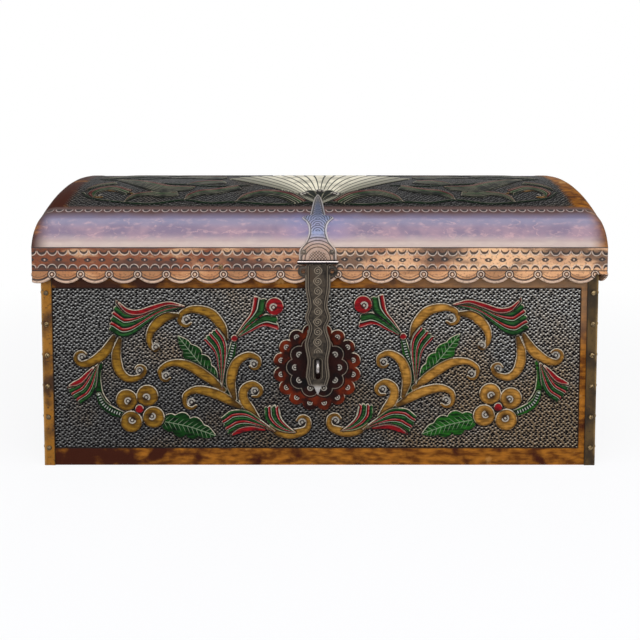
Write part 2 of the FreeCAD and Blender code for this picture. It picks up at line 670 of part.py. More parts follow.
nodes.update(
    bottom_board=bottom_board,
    front_board=front_board,
    back_board=back_board,
    left_end_board=left_end_board,
    right_end_board=right_end_board,
    front_leather=front_leather,
    back_leather=back_leather,
    left_end_leather=left_end_leather,
    right_end_leather=right_end_leather,
    front_left_binding=front_left_binding,
    front_right_binding=front_right_binding,
    back_left_binding=back_left_binding,
    back_right_binding=back_right_binding,
    corner_tacks=Part.makeCompound(corner_tacks),
    hasp_staple=hasp_staple,
    lid_front_rail=lid_front_rail,
    lid_back_rail=lid_back_rail,
    lid_left_end=lid_left_end,
    lid_right_end=lid_right_end,
    lid_dome_leather=lid_dome_leather,
    lid_left_leather=end_panels[-1],
    lid_right_leather=end_panels[1],
    valance_front=valance_front,
    valance_left=valance_left,
    valance_right=valance_right,
    back_band=back_band,
    valance_tacks=Part.makeCompound(valance_tacks),
    hinge_body_screws=Part.makeCompound(body_screws),
    hinge_lid_screws=Part.makeCompound(lid_screws),
    hasp_plate=hasp_plate,
    hasp_plate_nails=Part.makeCompound(plate_nails),
    hasp_pin=hasp_pin,
    hasp_strap=hasp_strap)

os.makedirs("parts", exist_ok=True)
for name, shape in nodes.items():
    shape.exportStep("parts/%s.step" % name)
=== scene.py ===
# %% [markdown]
# Dome top trunk.
# The real object is an old pine chest covered in leather. The leather of the front and of the
# rounded lid was damped, tooled with small punches and then painted, and a chased iron hasp locks
# it. The CAD model already holds every solid and every hinge, so this file only dresses it: it
# lays finer surfaces over the solids and gives every piece a finish.

# %% Load the frame
import math

import bpy
import numpy as np
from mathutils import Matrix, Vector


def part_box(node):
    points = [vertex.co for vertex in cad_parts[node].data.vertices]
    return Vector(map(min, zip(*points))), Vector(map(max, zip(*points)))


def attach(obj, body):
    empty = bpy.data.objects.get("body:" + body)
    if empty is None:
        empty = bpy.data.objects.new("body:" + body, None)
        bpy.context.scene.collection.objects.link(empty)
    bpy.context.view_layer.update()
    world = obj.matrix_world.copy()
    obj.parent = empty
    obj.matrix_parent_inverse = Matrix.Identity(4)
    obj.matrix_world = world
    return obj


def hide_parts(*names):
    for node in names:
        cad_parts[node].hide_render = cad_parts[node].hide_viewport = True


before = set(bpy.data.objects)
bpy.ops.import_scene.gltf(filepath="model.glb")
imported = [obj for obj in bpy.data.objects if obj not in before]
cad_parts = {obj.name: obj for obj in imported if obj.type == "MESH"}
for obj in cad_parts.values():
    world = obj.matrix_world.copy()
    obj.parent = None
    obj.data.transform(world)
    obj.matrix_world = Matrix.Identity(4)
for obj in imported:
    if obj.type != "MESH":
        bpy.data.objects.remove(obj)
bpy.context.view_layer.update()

# %% [markdown]
# Light and camera.
# The trunk stands on a pale floor in front of a white ground. A wide cool lamp, high in front, does
# the work of an open sky, because polished leather shows mostly what it mirrors. A low warm panel
# in front lights the foot of the lid, where the pale line is mostly a painted reflection, and weak
# lamps at the sides and behind keep the ends and the back readable. The camera repeats the
# photograph: slightly above the lid, looking a little down.

# %% Camera
scene = bpy.context.scene
scene.view_settings.view_transform = "Standard"
camera_data = bpy.data.cameras.new("camera")
camera_data.lens = 39.69
camera_data.sensor_width = 36.0
camera_data.shift_x = 0.0005
camera_data.shift_y = -0.1809
camera = bpy.data.objects.new("camera", camera_data)
camera.location = (0.0, -1.126, 0.404)
camera.rotation_euler = (math.radians(90 - 3.2), 0.0, 0.0)
scene.collection.objects.link(camera)
scene.camera = camera
print("camera at", tuple(camera.location))


# %% Colours
def dye(red, green, blue):
    """A colour as a painter reads it, in 0 to 255 per channel, turned into linear light."""
    shares = [value / 255 for value in (red, green, blue)]
    return [s / 12.92 if s <= 0.04045 else ((s + 0.055) / 1.055) ** 2.4 for s in shares] + [1.0]


# %% [markdown]
# Shader maths.
# A finish is a graph of nodes, and a graph is hard to read as a list of links. Here one small
# class wraps a socket, so that a sum of sockets is written as a sum, and one method adds any
# other kind of node.

# %% Sockets that can be added
class Wire:
    """A socket of a finish: sums, products and steps of it add Math nodes."""

    def __init__(self, tree, socket=None):
        self.tree = tree
        self.socket = socket

    def node(self, kind, settings, inputs, output=0):
        """Adds a node of a kind, sets it up, fills or joins its sockets and returns one output."""
        made = self.tree.nodes.new("ShaderNode" + kind)
        for name, value in settings.items():
            setattr(made, name, value)
        for name, value in inputs.items():
            if isinstance(value, Wire):
                self.tree.links.new(value.socket, made.inputs[name])
            else:
                made.inputs[name].default_value = value
        return Wire(self.tree, made.outputs[output] if made.outputs else None)

    def math(self, operation, first, second=0.0):
        return self.node("Math", {"operation": operation}, {0: first, 1: second})

    def __add__(self, other):
        return self.math("ADD", self, other)

    def __sub__(self, other):
        return self.math("SUBTRACT", self, other)

    def __rsub__(self, other):
        return self.math("SUBTRACT", other, self)

    def __mul__(self, other):
        return self.math("MULTIPLY", self, other)

    def __truediv__(self, other):
        return self.math("DIVIDE", self, other)

    def __or__(self, other):
        return self.math("MAXIMUM", self, other)

    def __abs__(self):
        return self.math("ABSOLUTE", self)

    __radd__ = __add__
    __rmul__ = __mul__

    def rise(self, low, high):
        """0 up to low, 1 from high on, and a smooth step between them."""
        return self.node("MapRange", {"interpolation_type": "SMOOTHSTEP"},
                         {"Value": self, "From Min": low, "From Max": high}, "Result")

    def mix(self, below, above):
        """The colour below where this is 0, and the colour above where it is 1."""
        below, above = (color if isinstance(color, Wire) else dye(*color) for color in (below, above))
        return self.node("Mix", {"data_type": "RGBA"}, {0: self, 6: below, 7: above}, 2)

    def value(self, name):
        """A number that a piece carries at each of its points."""
        return self.node("Attribute", {"attribute_name": name}, {}, "Fac")

    def place(self, name):
        """Three numbers that a piece carries at each of its points."""
        return self.node("Attribute", {"attribute_name": name}, {}, "Vector")

    def spot(self):
        """A point's place in its object, in metres."""
        return self.node("TexCoord", {}, {}, "Object")

    def ray(self, kind):
        """1 for a ray of a kind, such as the camera's own, and 0 for any other."""
        return self.node("LightPath", {}, {}, "Is " + kind + " Ray")

    def parts(self):
        """The three numbers of a place."""
        return [self.node("SeparateXYZ", {}, {0: self}, axis) for axis in range(3)]

    def radius(self, other):
        """The distance from a point whose two offsets are this and the other: a root of squares."""
        return self.math("SQRT", self * self + other * other)

    def folded(self, pitch, phase):
        """The offset from the nearest mark of a row with a pitch, one of which is at the phase."""
        return (self.math("FRACT", (self - (phase - pitch / 2)) / pitch) - 0.5) * pitch

    def lines(self, pitch, half):
        """Thin lines, one per pitch: 1 on a line and 0 beside it."""
        return abs(self.folded(pitch, 0.0)).rise(half + 0.35, half)

    def noise(self, where, size, detail=4.0, stretch=(1.0, 1.0, 1.0)):
        """Cloudy patches about size metres across, from 0 to 1, drawn out by the stretch."""
        spread = self.node("VectorMath", {"operation": "MULTIPLY"}, {0: where, 1: stretch})
        return self.node("TexNoise", {},
                         {"Vector": spread, "Scale": 1.0 / size, "Detail": detail}, "Fac")


def coats(color, *over):
    """A colour with others laid over it in turn, each (mask, colour) where its mask is 1."""
    for mask, above in over:
        color = mask.mix(color, above)
    return color


def new_finish(name):
    """An empty finish: its material, and a wire that adds nodes to it."""
    material = bpy.data.materials.new(name)
    material.use_nodes = True
    material.node_tree.nodes.clear()
    return material, Wire(material.node_tree)


def close_finish(wire, color, roughness, height, depth, others):
    """Ends a finish: height is 0 to 1, and depth is what 1 is worth in metres."""
    bump = wire.node("Bump", {}, {"Strength": 1.0, "Distance": depth, "Height": height}, "Normal")
    sockets = {"Base Color": color, "Roughness": roughness, "Normal": bump}
    sockets.update(others)
    shader = wire.node("BsdfPrincipled", {}, sockets, "BSDF")
    wire.node("OutputMaterial", {}, {"Surface": shader})


# %% White ground and floor
white = dye(255, 255, 255)
world = bpy.data.worlds.new("studio")
scene.world = world
world.use_nodes = True
world.node_tree.nodes.clear()
sky = Wire(world.node_tree)
seen = sky.ray("Camera") | sky.ray("Glossy") * 0.4
ground_light = sky.node("Background", {}, {"Color": white, "Strength": 0.2 + seen * 0.8}, "Background")
sky.node("OutputWorld", {}, {"Surface": ground_light})

floor_mesh = bpy.data.meshes.new("floor")
floor_mesh.from_pydata([(-25, -25, 0), (25, -25, 0), (25, 25, 0), (-25, 25, 0)], [], [(0, 1, 2, 3)])
floor = bpy.data.objects.new("floor", floor_mesh)
scene.collection.objects.link(floor)
floor_finish, paper = new_finish("floor_paper")
paper_color = paper.noise(paper.spot(), 0.4).mix((236, 236, 236), (246, 246, 246))
lit_paper = paper.node("BsdfDiffuse", {}, {"Color": paper_color}, "BSDF")
white_paper = paper.node("Emission", {}, {"Color": white, "Strength": 1.0}, "Emission")
floor_x, floor_y = paper.spot().parts()[:2]
far_off = floor_x.radius(floor_y).rise(0.6, 1.6)
paper_share = {0: paper.ray("Camera") * (0.86 + far_off * 0.14), 1: lit_paper, 2: white_paper}
paper_shader = paper.node("MixShader", {}, paper_share, "Shader")
paper.node("OutputMaterial", {}, {"Surface": paper_shader})
floor_mesh.materials.append(floor_finish)
print("floor finish:", floor_finish.name)


# %% Lamps
def lamp(name, place, target, size, power, color):
    """A rectangular soft lamp at a place, turned towards a target."""
    data = bpy.data.lights.new(name, "AREA")
    data.shape = "RECTANGLE"
    data.size, data.size_y = size
    data.energy = power
    data.color = color
    made = bpy.data.objects.new(name, data)
    made.location = place
    direction = np.subtract(target, place)
    flat = math.hypot(direction[0], direction[1])
    made.rotation_euler = (math.atan2(flat, -direction[2]), 0.0, math.atan2(-direction[0], direction[1]))
    scene.collection.objects.link(made)


lamp("high_front", (0.0, -1.2, 1.55), (0.0, -0.2, 0.3), (3.0, 2.3), 46.0, (0.84, 0.87, 1.0))
lamp("low_front", (0.0, -2.6, 0.35), (0.0, 0.0, 0.3), (3.4, 0.8), 16.0, (1.0, 0.96, 0.9))
lamp("left_side", (-2.2, -0.5, 0.9), (0.0, 0.0, 0.2), (1.2, 1.2), 8.0, (1.0, 0.98, 0.95))
lamp("right_side", (2.2, -0.5, 0.9), (0.0, 0.0, 0.2), (1.2, 1.2), 12.0, (1.0, 0.98, 0.95))
lamp("behind", (0.0, 2.2, 1.4), (0.0, 0.0, 0.2), (2.4, 1.2), 14.0, (1.0, 1.0, 1.0))

# %% [markdown]
# Surfaces.
# Nearly every piece here is a stack of closed rings: the cross-sections of a strip of leather,
# of a bar or of a tack. Two neighbouring rings are joined by quads and the first and the last
# are closed by one face each, so every piece is a closed solid. Sizes are in millimetres, as on a
# drawing, and become metres when they go into the mesh.


# %% Rings into solids
def loft(name, rings, values=None, loop=False, crease=40.0):
    """Solids from rings[solid, station, point, xyz] in mm: quads join ring to ring and point to point.

    The values are numbers per point, which the finish can read. With loop the last ring joins the
    first. The signed volume, a sum of triple products, tells whether the faces point outwards.
    """
    rings = np.asarray(rings, float)
    rings = rings if rings.ndim == 4 else rings[None]
    index = np.arange(rings[..., 0].size).reshape(rings.shape[:3])
    here = index if loop else index[:, :-1]
    ahead = np.roll(index, -1, 1) if loop else index[:, 1:]
    quads = np.stack([here, np.roll(here, -1, 2), np.roll(ahead, -1, 2), ahead], -1).reshape(-1, 4)
    corners = rings.reshape(-1, 3)
    a, b, c, d = (corners[quads[:, k]] - corners.mean(0) for k in range(4))
    volume = np.einsum("ij,ij->", a, np.cross(b, c)) + np.einsum("ij,ij->", a, np.cross(c, d))
    faces = quads.tolist()
    if not loop:
        faces += index[:, 0, ::-1].tolist() + index[:, -1].tolist()
    if volume < 0:
        faces = [face[::-1] for face in faces]
    mesh = bpy.data.meshes.new(name)
    mesh.from_pydata((corners / 1000).tolist(), [], faces)
    for label, numbers in (values or {}).items():
        is_place = numbers.size == corners.size
        layer = mesh.attributes.new(label, "FLOAT_VECTOR" if is_place else "FLOAT", "POINT")
        layer.data.foreach_set("vector" if is_place else "value", np.asarray(numbers, np.float32).ravel())
    mesh.polygons.foreach_set("use_smooth", np.ones(len(mesh.polygons), bool))
    mesh.set_sharp_from_angle(angle=math.radians(crease))
    mesh.update()
    piece = bpy.data.objects.new(name, mesh)
    scene.collection.objects.link(piece)
    return piece


def dress(piece, body, slot, finish, *nodes):
    """Gives a piece its finish, ties it to its body and hides the CAD nodes that it stands for."""
    piece.data.materials.append(finish)
    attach(piece, body)
    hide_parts(*nodes)
    print(piece.name, "faces:", len(piece.data.polygons), "for", nodes)


# %% [markdown]
# Tooling.
# The ornament is made of strokes, fans of feathers and small punches. Painting them as images would
# tie them to one resolution, so each shape is kept as a distance: how far a point of the leather is
# from its edge, below zero inside. Distances stay sharp when the mesh is coarse, because the finish
# draws the edge where the distance passes zero. Veins, bars and feathers come from where a point
# lies along and across its stroke, for the same reason.

# %% Smooth lines
def smooth_line(points, samples=14):
    """A line through a few points: each span is the Catmull-Rom cubic of its four neighbours."""
    points = np.asarray(points, float)
    ends = np.vstack([2 * points[0] - points[1], points, 2 * points[-1] - points[-2]])
    place = np.linspace(0, len(points) - 1, samples * (len(points) - 1) + 1)
    span = np.minimum(place.astype(int), len(points) - 2)
    t = (place - span)[:, None]
    p, q, r, s = ends[span], ends[span + 1], ends[span + 2], ends[span + 3]
    return q + 0.5 * t * (r - p + t * (2 * p - 5 * q + 4 * r - s + t * (3 * q - p - 3 * r + s)))


# %% Distances on a sheet
class Tooling:
    """The ornament of a sheet of leather, as numbers at each of its points.

    Each layer holds distances in mm to the edges of its shapes. run and side say how far along and
    across the topmost stroke a point lies, and punch is its place in the nearest punch mark.
    """

    reach = 9.0

    def __init__(self, across, up, layers):
        self.across = across
        self.up = up
        self.layers = {name: np.full(across.shape, self.reach) for name in layers}
        self.run = np.zeros(across.shape)
        self.side = np.zeros(across.shape)
        self.slope = np.zeros(across.shape)
        self.punch = np.full(across.shape + (3,), self.reach)

    def around(self, points, margin):
        """The points of the sheet in a box round some places, widened by a margin."""
        low, high = np.min(points, 0) - margin, np.max(points, 0) + margin
        wide = (self.across > low[0]) & (self.across < high[0])
        return wide & (self.up > low[1]) & (self.up < high[1])

    def beside(self, line, near):
        """For near points: the length along a line, the distance to its left and its whole length.

        Each point is dropped onto every leg of the line, and the nearest foot counts. The sign of
        the cross product of leg and gap tells left from right.
        """
        spots = np.stack([self.across[near], self.up[near]], -1)[:, None]
        legs = np.diff(line, axis=0)
        share = np.clip(((spots - line[:-1]) * legs).sum(-1) / (legs ** 2).sum(-1), 0, 1)
        gaps = spots - line[:-1] - share[..., None] * legs
        best = (gaps ** 2).sum(-1).argmin(-1)
        rows = np.arange(len(best))
        gap, leg = gaps[rows, best], legs[best]
        lengths = np.linalg.norm(legs, axis=1)
        starts = np.cumsum(lengths) - lengths
        run = starts[best] + share[rows, best] * lengths[best]
        left = np.where(leg[:, 0] * gap[:, 1] < leg[:, 1] * gap[:, 0], -1.0, 1.0)
        return run, left * np.linalg.norm(gap, axis=-1), lengths.sum()

    def paint(self, layer, near, distance, run, side):
        """Adds a shape: the least distance counts, and inside it the new run and side hold."""
        numbers = self.layers[layer]
        numbers[near] = np.minimum(numbers[near], distance)
        covers = distance < 1.5
        spots = np.flatnonzero(near)[covers]
        self.run.flat[spots] = run[covers]
        self.side.flat[spots] = side[covers]

    def disc(self, layer, centre, radius):
        """A round spot: its run is a far one, so no shade of a root falls on it."""
        near = self.around([centre], self.reach + radius)
        x, z = self.across[near] - centre[0], self.up[near] - centre[1]
        self.paint(layer, near, np.hypot(x, z) - radius, 0 * x + 99, z)

    def stroke(self, layer, points, widths):
        """A brush stroke: the distance to a smooth line, less the half width there."""
        line = smooth_line(points)
        near = self.around(line, self.reach + max(widths))
        run, side, length = self.beside(line, near)
        half = np.interp(run / length, np.linspace(0, 1, len(widths)), widths)
        self.paint(layer, near, np.abs(side) - half, run, side)

    def fan(self, layer, first, last, bands, start=0, tip=3.0):
        """Feathers between two lines that run from their tips to a common root.

        With a and b the distances to the two lines, a / (a + b) is the share of the way across.
        Times the number of bands it counts the feathers. They end at a distance from the root that
        goes from one line's length to the other's, and a sine rounds their tips.
        """
        first, last = smooth_line(first), smooth_line(last)
        near = self.around(np.vstack([first, last]), self.reach + tip)
        opening, heading = last[0] - first[0], first[1] - first[0]
        turn = 1.0 if heading[0] * opening[1] > heading[1] * opening[0] else -1.0
        run, left = self.beside(first, near)[:2]
        a = turn * left
        b = -turn * self.beside(last, near)[1]
        share = np.clip(a, 0, None) / np.maximum(np.clip(a, 0, None) + np.clip(b, 0, None), 0.01)
        root = (first[-1] + last[-1]) / 2
        ends = np.hypot(*(first[0] - root)) * (1 - share) + np.hypot(*(last[0] - root)) * share
        spots = np.stack([self.across[near], self.up[near]], -1)
        beyond = np.linalg.norm(spots - root, axis=-1) - ends
        beyond -= tip * np.sqrt(np.abs(np.sin(math.pi * share * bands)))
        self.paint(layer, near, np.maximum(-np.minimum(a, b), beyond), run, start + share * bands)

    def mark(self, centre, turn, size=1.0):
        """A punch mark: near points note their place about it, with the turn as their x, and its radius."""
        x, z = (self.across - centre[0]) / size, (self.up - centre[1]) / size
        radius = np.hypot(x, z)
        along = x * math.cos(turn) + z * math.sin(turn)
        aside = z * math.cos(turn) - x * math.sin(turn)
        closer = radius < self.punch[..., 2]
        self.punch[closer] = np.stack([along, aside, radius], -1)[closer]

    def numbers(self):
        """All the numbers of the sheet by name."""
        return {**self.layers, "run": self.run, "side": self.side, "slope": self.slope, "punch": self.punch}


def step(values, low, high):
    """A smooth step from 0 at low to 1 at high, as a cubic of the share of the way."""
    share = np.clip((values - low) / (high - low), 0, 1)
    return share * share * (3 - 2 * share)


# %% [markdown]
# The front panel.
# Most of the front is a pebbled ground that was beaten down round the ornament, so the scrolls,
# feathers and flowers stand a little proud of it. Both halves come from one drawing of the left
# half. The right half is folded over and lies a little higher and nearer the middle, as it does on
# work that was drawn by hand. Few points carry each stroke, and the widths say how it swells.

# %% Drawing of the front
gold_scrolls = [
    [(-125, 172), (-130, 188), (-145, 206), (-166, 212), (-182, 208), (-187, 199)],
    [(-190, 204), (-207, 201), (-220, 190), (-227, 178), (-227, 166), (-222, 158)],
    [(-267, 172), (-272, 150), (-268, 129), (-256, 118), (-240, 121), (-234, 130)],
    [(-275, 175), (-286, 156), (-303, 142), (-319, 138), (-326, 146)],
    [(-128, 103), (-154, 123), (-178, 137), (-199, 139), (-213, 131), (-213, 122)],
    [(-107, 80), (-136, 96), (-163, 103), (-179, 97), (-181, 87)],
    [(-114, 91), (-119, 115), (-112, 139), (-96, 150), (-83, 146), (-81, 138)],
    [(-83, 64), (-99, 85), (-102, 102), (-91, 111), (-80, 106)],
    [(-65, 53), (-54, 45), (-35, 43), (-18, 49), (-15, 60)],
]
scroll_eyes = [(-178, 198), (-219, 161), (-241, 129), (-318, 147), (-206, 122), (-172, 86),
               (-88, 138), (-87, 101), (-23.5, 58.5)]
petal_middles = [(-259, 89), (-231, 95), (-253, 59.5), (-223, 65.5)]
feather_fans = [
    ([(-267, 222), (-256, 211), (-241, 209), (-223, 215), (-201, 222), (-179, 217)],
     [(-279, 182), (-265, 174), (-248, 178), (-227, 195), (-210, 206), (-180, 215)], 6, 0),
    ([(-336, 108), (-322, 115), (-308, 129), (-297, 138)],
     [(-318, 85), (-306, 94), (-299, 110), (-296, 136)], 6, 0),
    ([(-153, 169), (-140, 153), (-136, 134), (-132, 109)],
     [(-135, 185), (-126, 172), (-124, 153), (-130, 110)], 5, 0),
    ([(-131, 66), (-118, 75), (-97, 74), (-78, 61), (-60, 47)],
     [(-116, 40), (-97, 48), (-79, 49), (-61, 46)], 6, 1),
    ([(-74, 77), (-73, 64), (-64, 53), (-50, 46), (-34, 44)],
     [(-54, 77), (-51, 64), (-43, 54), (-32, 45)], 4, 1),
    ([(-88, 226), (-92, 207), (-102, 193), (-114, 175)],
     [(-69, 222), (-74, 205), (-88, 194), (-112, 174)], 2, 0),
    ([(-58, 185), (-75, 189), (-93, 181), (-113, 172)],
     [(-60, 204), (-73, 205), (-88, 195), (-112, 174)], 2, 0),
]
plain_stems = [[(-292, 139), (-297, 125), (-297, 109), (-293, 95), (-283, 83)],
               [(-125, 136), (-128, 112), (-120, 94), (-104, 78), (-80, 58)]]
barred_stems = [[(-296, 96), (-290, 83), (-278, 74), (-262, 68)],
                [(-114, 170), (-118, 152), (-123, 132), (-126, 114)]]
lobed_leaves = [([(-216, 61), (-177, 53), (-139, 40)], 16.5), ([(-137, 115), (-161, 140), (-190, 177)], 14.0)]
red_feathers = [[(-267, 220), (-256, 210), (-241, 208), (-223, 214), (-201, 220), (-181, 216)],
                [(-335, 109), (-321, 115), (-310, 126), (-303, 133)],
                [(-117, 42), (-104, 48), (-90, 50), (-74, 48)]]
layers = ("stain", "petal", "gold", "leaf", "stem", "green", "fan", "plume", "red", "field")
print("on the front:", len(gold_scrolls), "scrolls and", len(feather_fans), "fans in each half")


# %% Putting the drawing on a sheet
def curled(points, eye):
    """A scroll whose end winds on about its eye: the radius shrinks over some 150 degrees."""
    before, last = np.subtract(points[-2], eye), np.subtract(points[-1], eye)
    way = math.copysign(1.0, before[0] * last[1] - before[1] * last[0])
    turns = math.atan2(last[1], last[0]) + way * np.radians([50, 100, 150])
    radii = np.hypot(*last) * np.linspace(0.96, 0.88, 3)
    return list(points) + [(eye[0] + r * math.cos(t), eye[1] + r * math.sin(t)) for r, t in zip(radii, turns)]


def draw_scrolls(sheet):
    """The painted ornament of one half of the front."""
    for points, half_width in lobed_leaves:
        draw_leaf(sheet, points, half_width, 4)
    for points in plain_stems:
        sheet.stroke("green", points, (2.0, 4.4, 5.0, 4.2, 2.6))
    for points in barred_stems:
        sheet.stroke("stem", points, (3.6, 5.4, 5.8, 4.4))
    for points, eye in zip(gold_scrolls, scroll_eyes):
        sheet.stroke("gold", curled(points, eye), (3.2, 6.2, 7.0, 6.0, 4.2, 3.0, 1.6))
        sheet.mark(eye, 2.2, 1.5)
    bead = np.array([-242.0, 77.0])
    for middle in petal_middles:
        inward = math.atan2(*(bead - middle)[::-1])
        sheet.disc("gold", middle, 14.5)
        sheet.mark(middle + 2.5 * np.array([math.cos(inward), math.sin(inward)]), inward + math.pi, 1.4)
    for first, last, bands, start in feather_fans:
        sheet.fan("fan", first, last, bands, start)
    for points in red_feathers:
        sheet.stroke("red", points, (1.4, 3.2, 3.4, 3.0, 2.2, 1.2))
    sheet.disc("red", bead, 5.6)
    sheet.disc("red", (-114, 173), 4.4)
    sheet.disc("red", (-60, 216), 11.8)
    sheet.mark((-61.5, 214.5), 2.4, 1.5)


# %% Leaves and rosettes
def draw_leaf(sheet, points, half_width, lobe_count):
    """A leaf whose width swells and thins as a sine, with a row of round lobes on each side."""
    share = np.linspace(0, 1, 43)
    lobes = 0.7 + 0.36 * np.abs(np.sin(np.pi * lobe_count * share)) ** 0.6
    sheet.stroke("leaf", points, tuple(half_width * np.sin(np.pi * share ** 0.8) ** 0.8 * lobes))


def draw_rosette(sheet, middle, radius=49.0):
    """A stained rosette: a disc in a ring of 16 lobes, and in it a dark one with 10, a punch in each lobe."""
    outer_lobe = 1.06 * radius * math.sin(math.pi / 16)
    for layer, size, count, start, lobe, mark in (("stain", radius, 16, 0.5, outer_lobe, 1.0),
                                                  ("petal", 0.6 * radius, 10, 0.0, 0.24 * radius, 1.15)):
        sheet.disc(layer, middle, size)
        for turn in 2 * math.pi * (np.arange(count) + start) / count:
            place = middle + size * np.array([math.cos(turn), math.sin(turn)])
            sheet.disc(layer, place, lobe)
            sheet.mark(place, turn, mark)


# %% Sheets of leather
def sheet_rings(across, up, outward, back):
    """A sheet as rings: each row of its face from end to end, then two points of its flat back."""
    front = np.stack([across, outward, up], -1)
    ends = front[:, [-1, 0]].copy()
    ends[..., 1] = back
    return np.concatenate([front, ends], 1)


def with_back(numbers):
    """The numbers of a sheet, with those of its edges repeated for the two points of its back."""
    return np.concatenate([numbers, numbers[:, [-1, 0]]], 1)


def sheet_values(sheet, along, up):
    """All the numbers of a sheet with a back, and where each point lies on it in metres."""
    numbers = {**sheet.numbers(), "sheet": np.stack([along, up, 0 * up], -1) / 1000}
    return {name: with_back(values) for name, values in numbers.items()}


def raised_relief(sheet):
    """How far tooled leather stands proud in mm: its paints, its plain margin and its punch marks.

    The sheet also notes the slope of its relief, which is above zero on the edges that face up.
    """
    paint_rise, margin_rise, punch_rise = 0.9, 0.6, 0.4
    nearest = np.minimum.reduce([sheet.layers[name] for name in layers if name != "field"])
    relief = paint_rise * step(-nearest, -0.8, 1.2) + margin_rise * step(sheet.layers["field"], -0.8, 0.8)
    relief += punch_rise * step(sheet.punch[..., 2], 3.6, 2.4)
    sheet.slope = -np.gradient(relief, axis=0)
    return relief


# %% Front leather
front_low, front_high = (np.array(corner) * 1000 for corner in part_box("front_leather"))
front_x, front_z = np.meshgrid(np.linspace(front_low[0], front_high[0], 543),
                               np.linspace(front_low[2], front_high[2], 181))
nearer, higher = 1.2, 2.5
front = Tooling(-np.abs(front_x + nearer) - nearer, front_z - higher * (front_x > 0), layers)
draw_scrolls(front)
front.across, front.up = front_x, front_z
draw_rosette(front, np.array([-3.5, 133.5]))
field_left, field_right, field_low, field_high = -356.5, 347.5, 23.5, 240.0
front.layers["field"] = np.maximum(np.maximum(field_left - front_x, front_x - field_right),
                                   np.maximum(field_low - front_z, front_z - field_high))
relief = raised_relief(front)
ground_sink = 0.5
front_rings = sheet_rings(front_x, front_z, front_low[1] + ground_sink - relief, front_high[1])
front_leather = loft("tooled_front", front_rings, sheet_values(front, front_x, front_z))
print("front relief in mm:", round(float(relief.min()), 2), "to", round(float(relief.max()), 2))

# %% [markdown]
# Tooled and painted leather.
# The ground was beaten with a round punch: rows of pits between grey ridges, painted shade in each
# pit and a painted highlight on the lip below it. The pits are drawn in the cells of a Voronoi
# texture, on coordinates that lie in the sheet. Over that ground lie the paints, one after the
# other, and each has a pale edge along the knife cut of its outline, a painted highlight where the
# edge faces up, with a dark groove outside it. Punch marks come last: a hollow filled with painted
# shade, and a raised crescent and a pearl with painted highlights.

# %% Beaten ground
def pebbles(wire, sheet, pitch):
    """Pits in the cells of a slanted grid, each a little off its place, and the lip below each pit, which
    takes a painted highlight.
    """
    slant = math.radians(45)
    cells = (1 / pitch[0], 1 / pitch[1], 1.0)
    grid = wire.node("Mapping", {}, {"Vector": sheet, "Rotation": (0.0, 0.0, slant), "Scale": cells})
    middle = wire.node("TexVoronoi", {"voronoi_dimensions": "2D"},
                       {"Vector": grid, "Scale": 1.0, "Randomness": 0.5}, "Position")
    offset = wire.node("VectorMath", {"operation": "SUBTRACT"}, {0: grid, 1: middle})
    upright = wire.node("Mapping", {}, {"Vector": offset, "Rotation": (0.0, 0.0, -slant)})
    across, up = upright.parts()[:2]
    # The pit sits a little above the middle of its cell, so its painted shade leans to the top, and the lip
    # below it carries the painted highlight.
    radius = (across * 0.94).radius(up * 1.1 - 0.06)
    lip = abs(across - 0.12).rise(0.36, 0.1) * abs(up + 0.46).rise(0.2, 0.06)
    return radius.rise(0.48, 0.32), lip


def beaten_ground(wire, sheet, clouds, speckle, on_lid):
    """The colour of the ground, its pits and their lips: grey leather, brown where it is worn, painted
    shade in the pits, painted highlights on their lips, and painted light towards the top right.
    """
    x, up = sheet.parts()[:2]
    pit, lip = pebbles(wire, sheet, (0.0042, 0.0039))
    worn = (clouds * 0.8 + x.rise(-0.3, 0.45) * up.rise(0.24, 0.06) * 0.26).rise(0.4, 0.62)
    # Painted light: the front is lighter towards the top and the right, and its lips take more painted
    # highlight there. It is darker towards the bottom, and the lid is darker all over, most in its middle.
    bright = up.rise(0.1, 0.24) * x.rise(-0.4, 0.3) * (0.0 if on_lid else 1.0)
    dull = up.rise(0.2, 0.06) * abs(x + 0.15).rise(0.4, 0.1) * 0.5
    if on_lid:
        dull = abs(x).rise(0.24, 0.03) * 0.72 | 0.62
    # Each pit is filled with painted shade, and each lip carries a painted highlight.
    color = coats(
        worn.mix((84, 83, 79), (100, 84, 63)),
        (bright * 0.35, (146, 139, 126)),
        (lip * (0.1 + speckle + bright * 0.6), worn.mix((224, 223, 216), (222, 204, 178))),
        (dull, (22, 19, 15)),
        (pit, (5, 4, 4)))
    return color, pit, lip


# %% Paints
def feather_pair(share, streaks):
    """The colours across a red feather and the green one beside it, as the share goes from 0 to 1.

    The red runs from a painted highlight line into painted shade, the green has a painted highlight
    down its middle, a pale line of painted highlight parts them, and a dark line of painted shade
    ends the pair.
    """
    # Streaks break up the painted highlights.
    worn = streaks.rise(0.3, 0.65)
    green = (abs(share - 0.66).rise(0.2, 0.04) * worn).mix((5, 30, 8), (36, 82, 34))
    return coats(
        share.rise(0.12, 0.3).mix((122, 11, 13), (34, 4, 6)),
        (abs(share - 0.05).rise(0.05, 0.02) * worn * 0.5, (204, 150, 142)),
        (share.rise(0.33, 0.35), green),
        (abs(share - 0.37).rise(0.045, 0.015) * 0.7, (178, 180, 156)),
        (abs(share - 0.96).rise(0.08, 0.04), (10, 12, 9)))


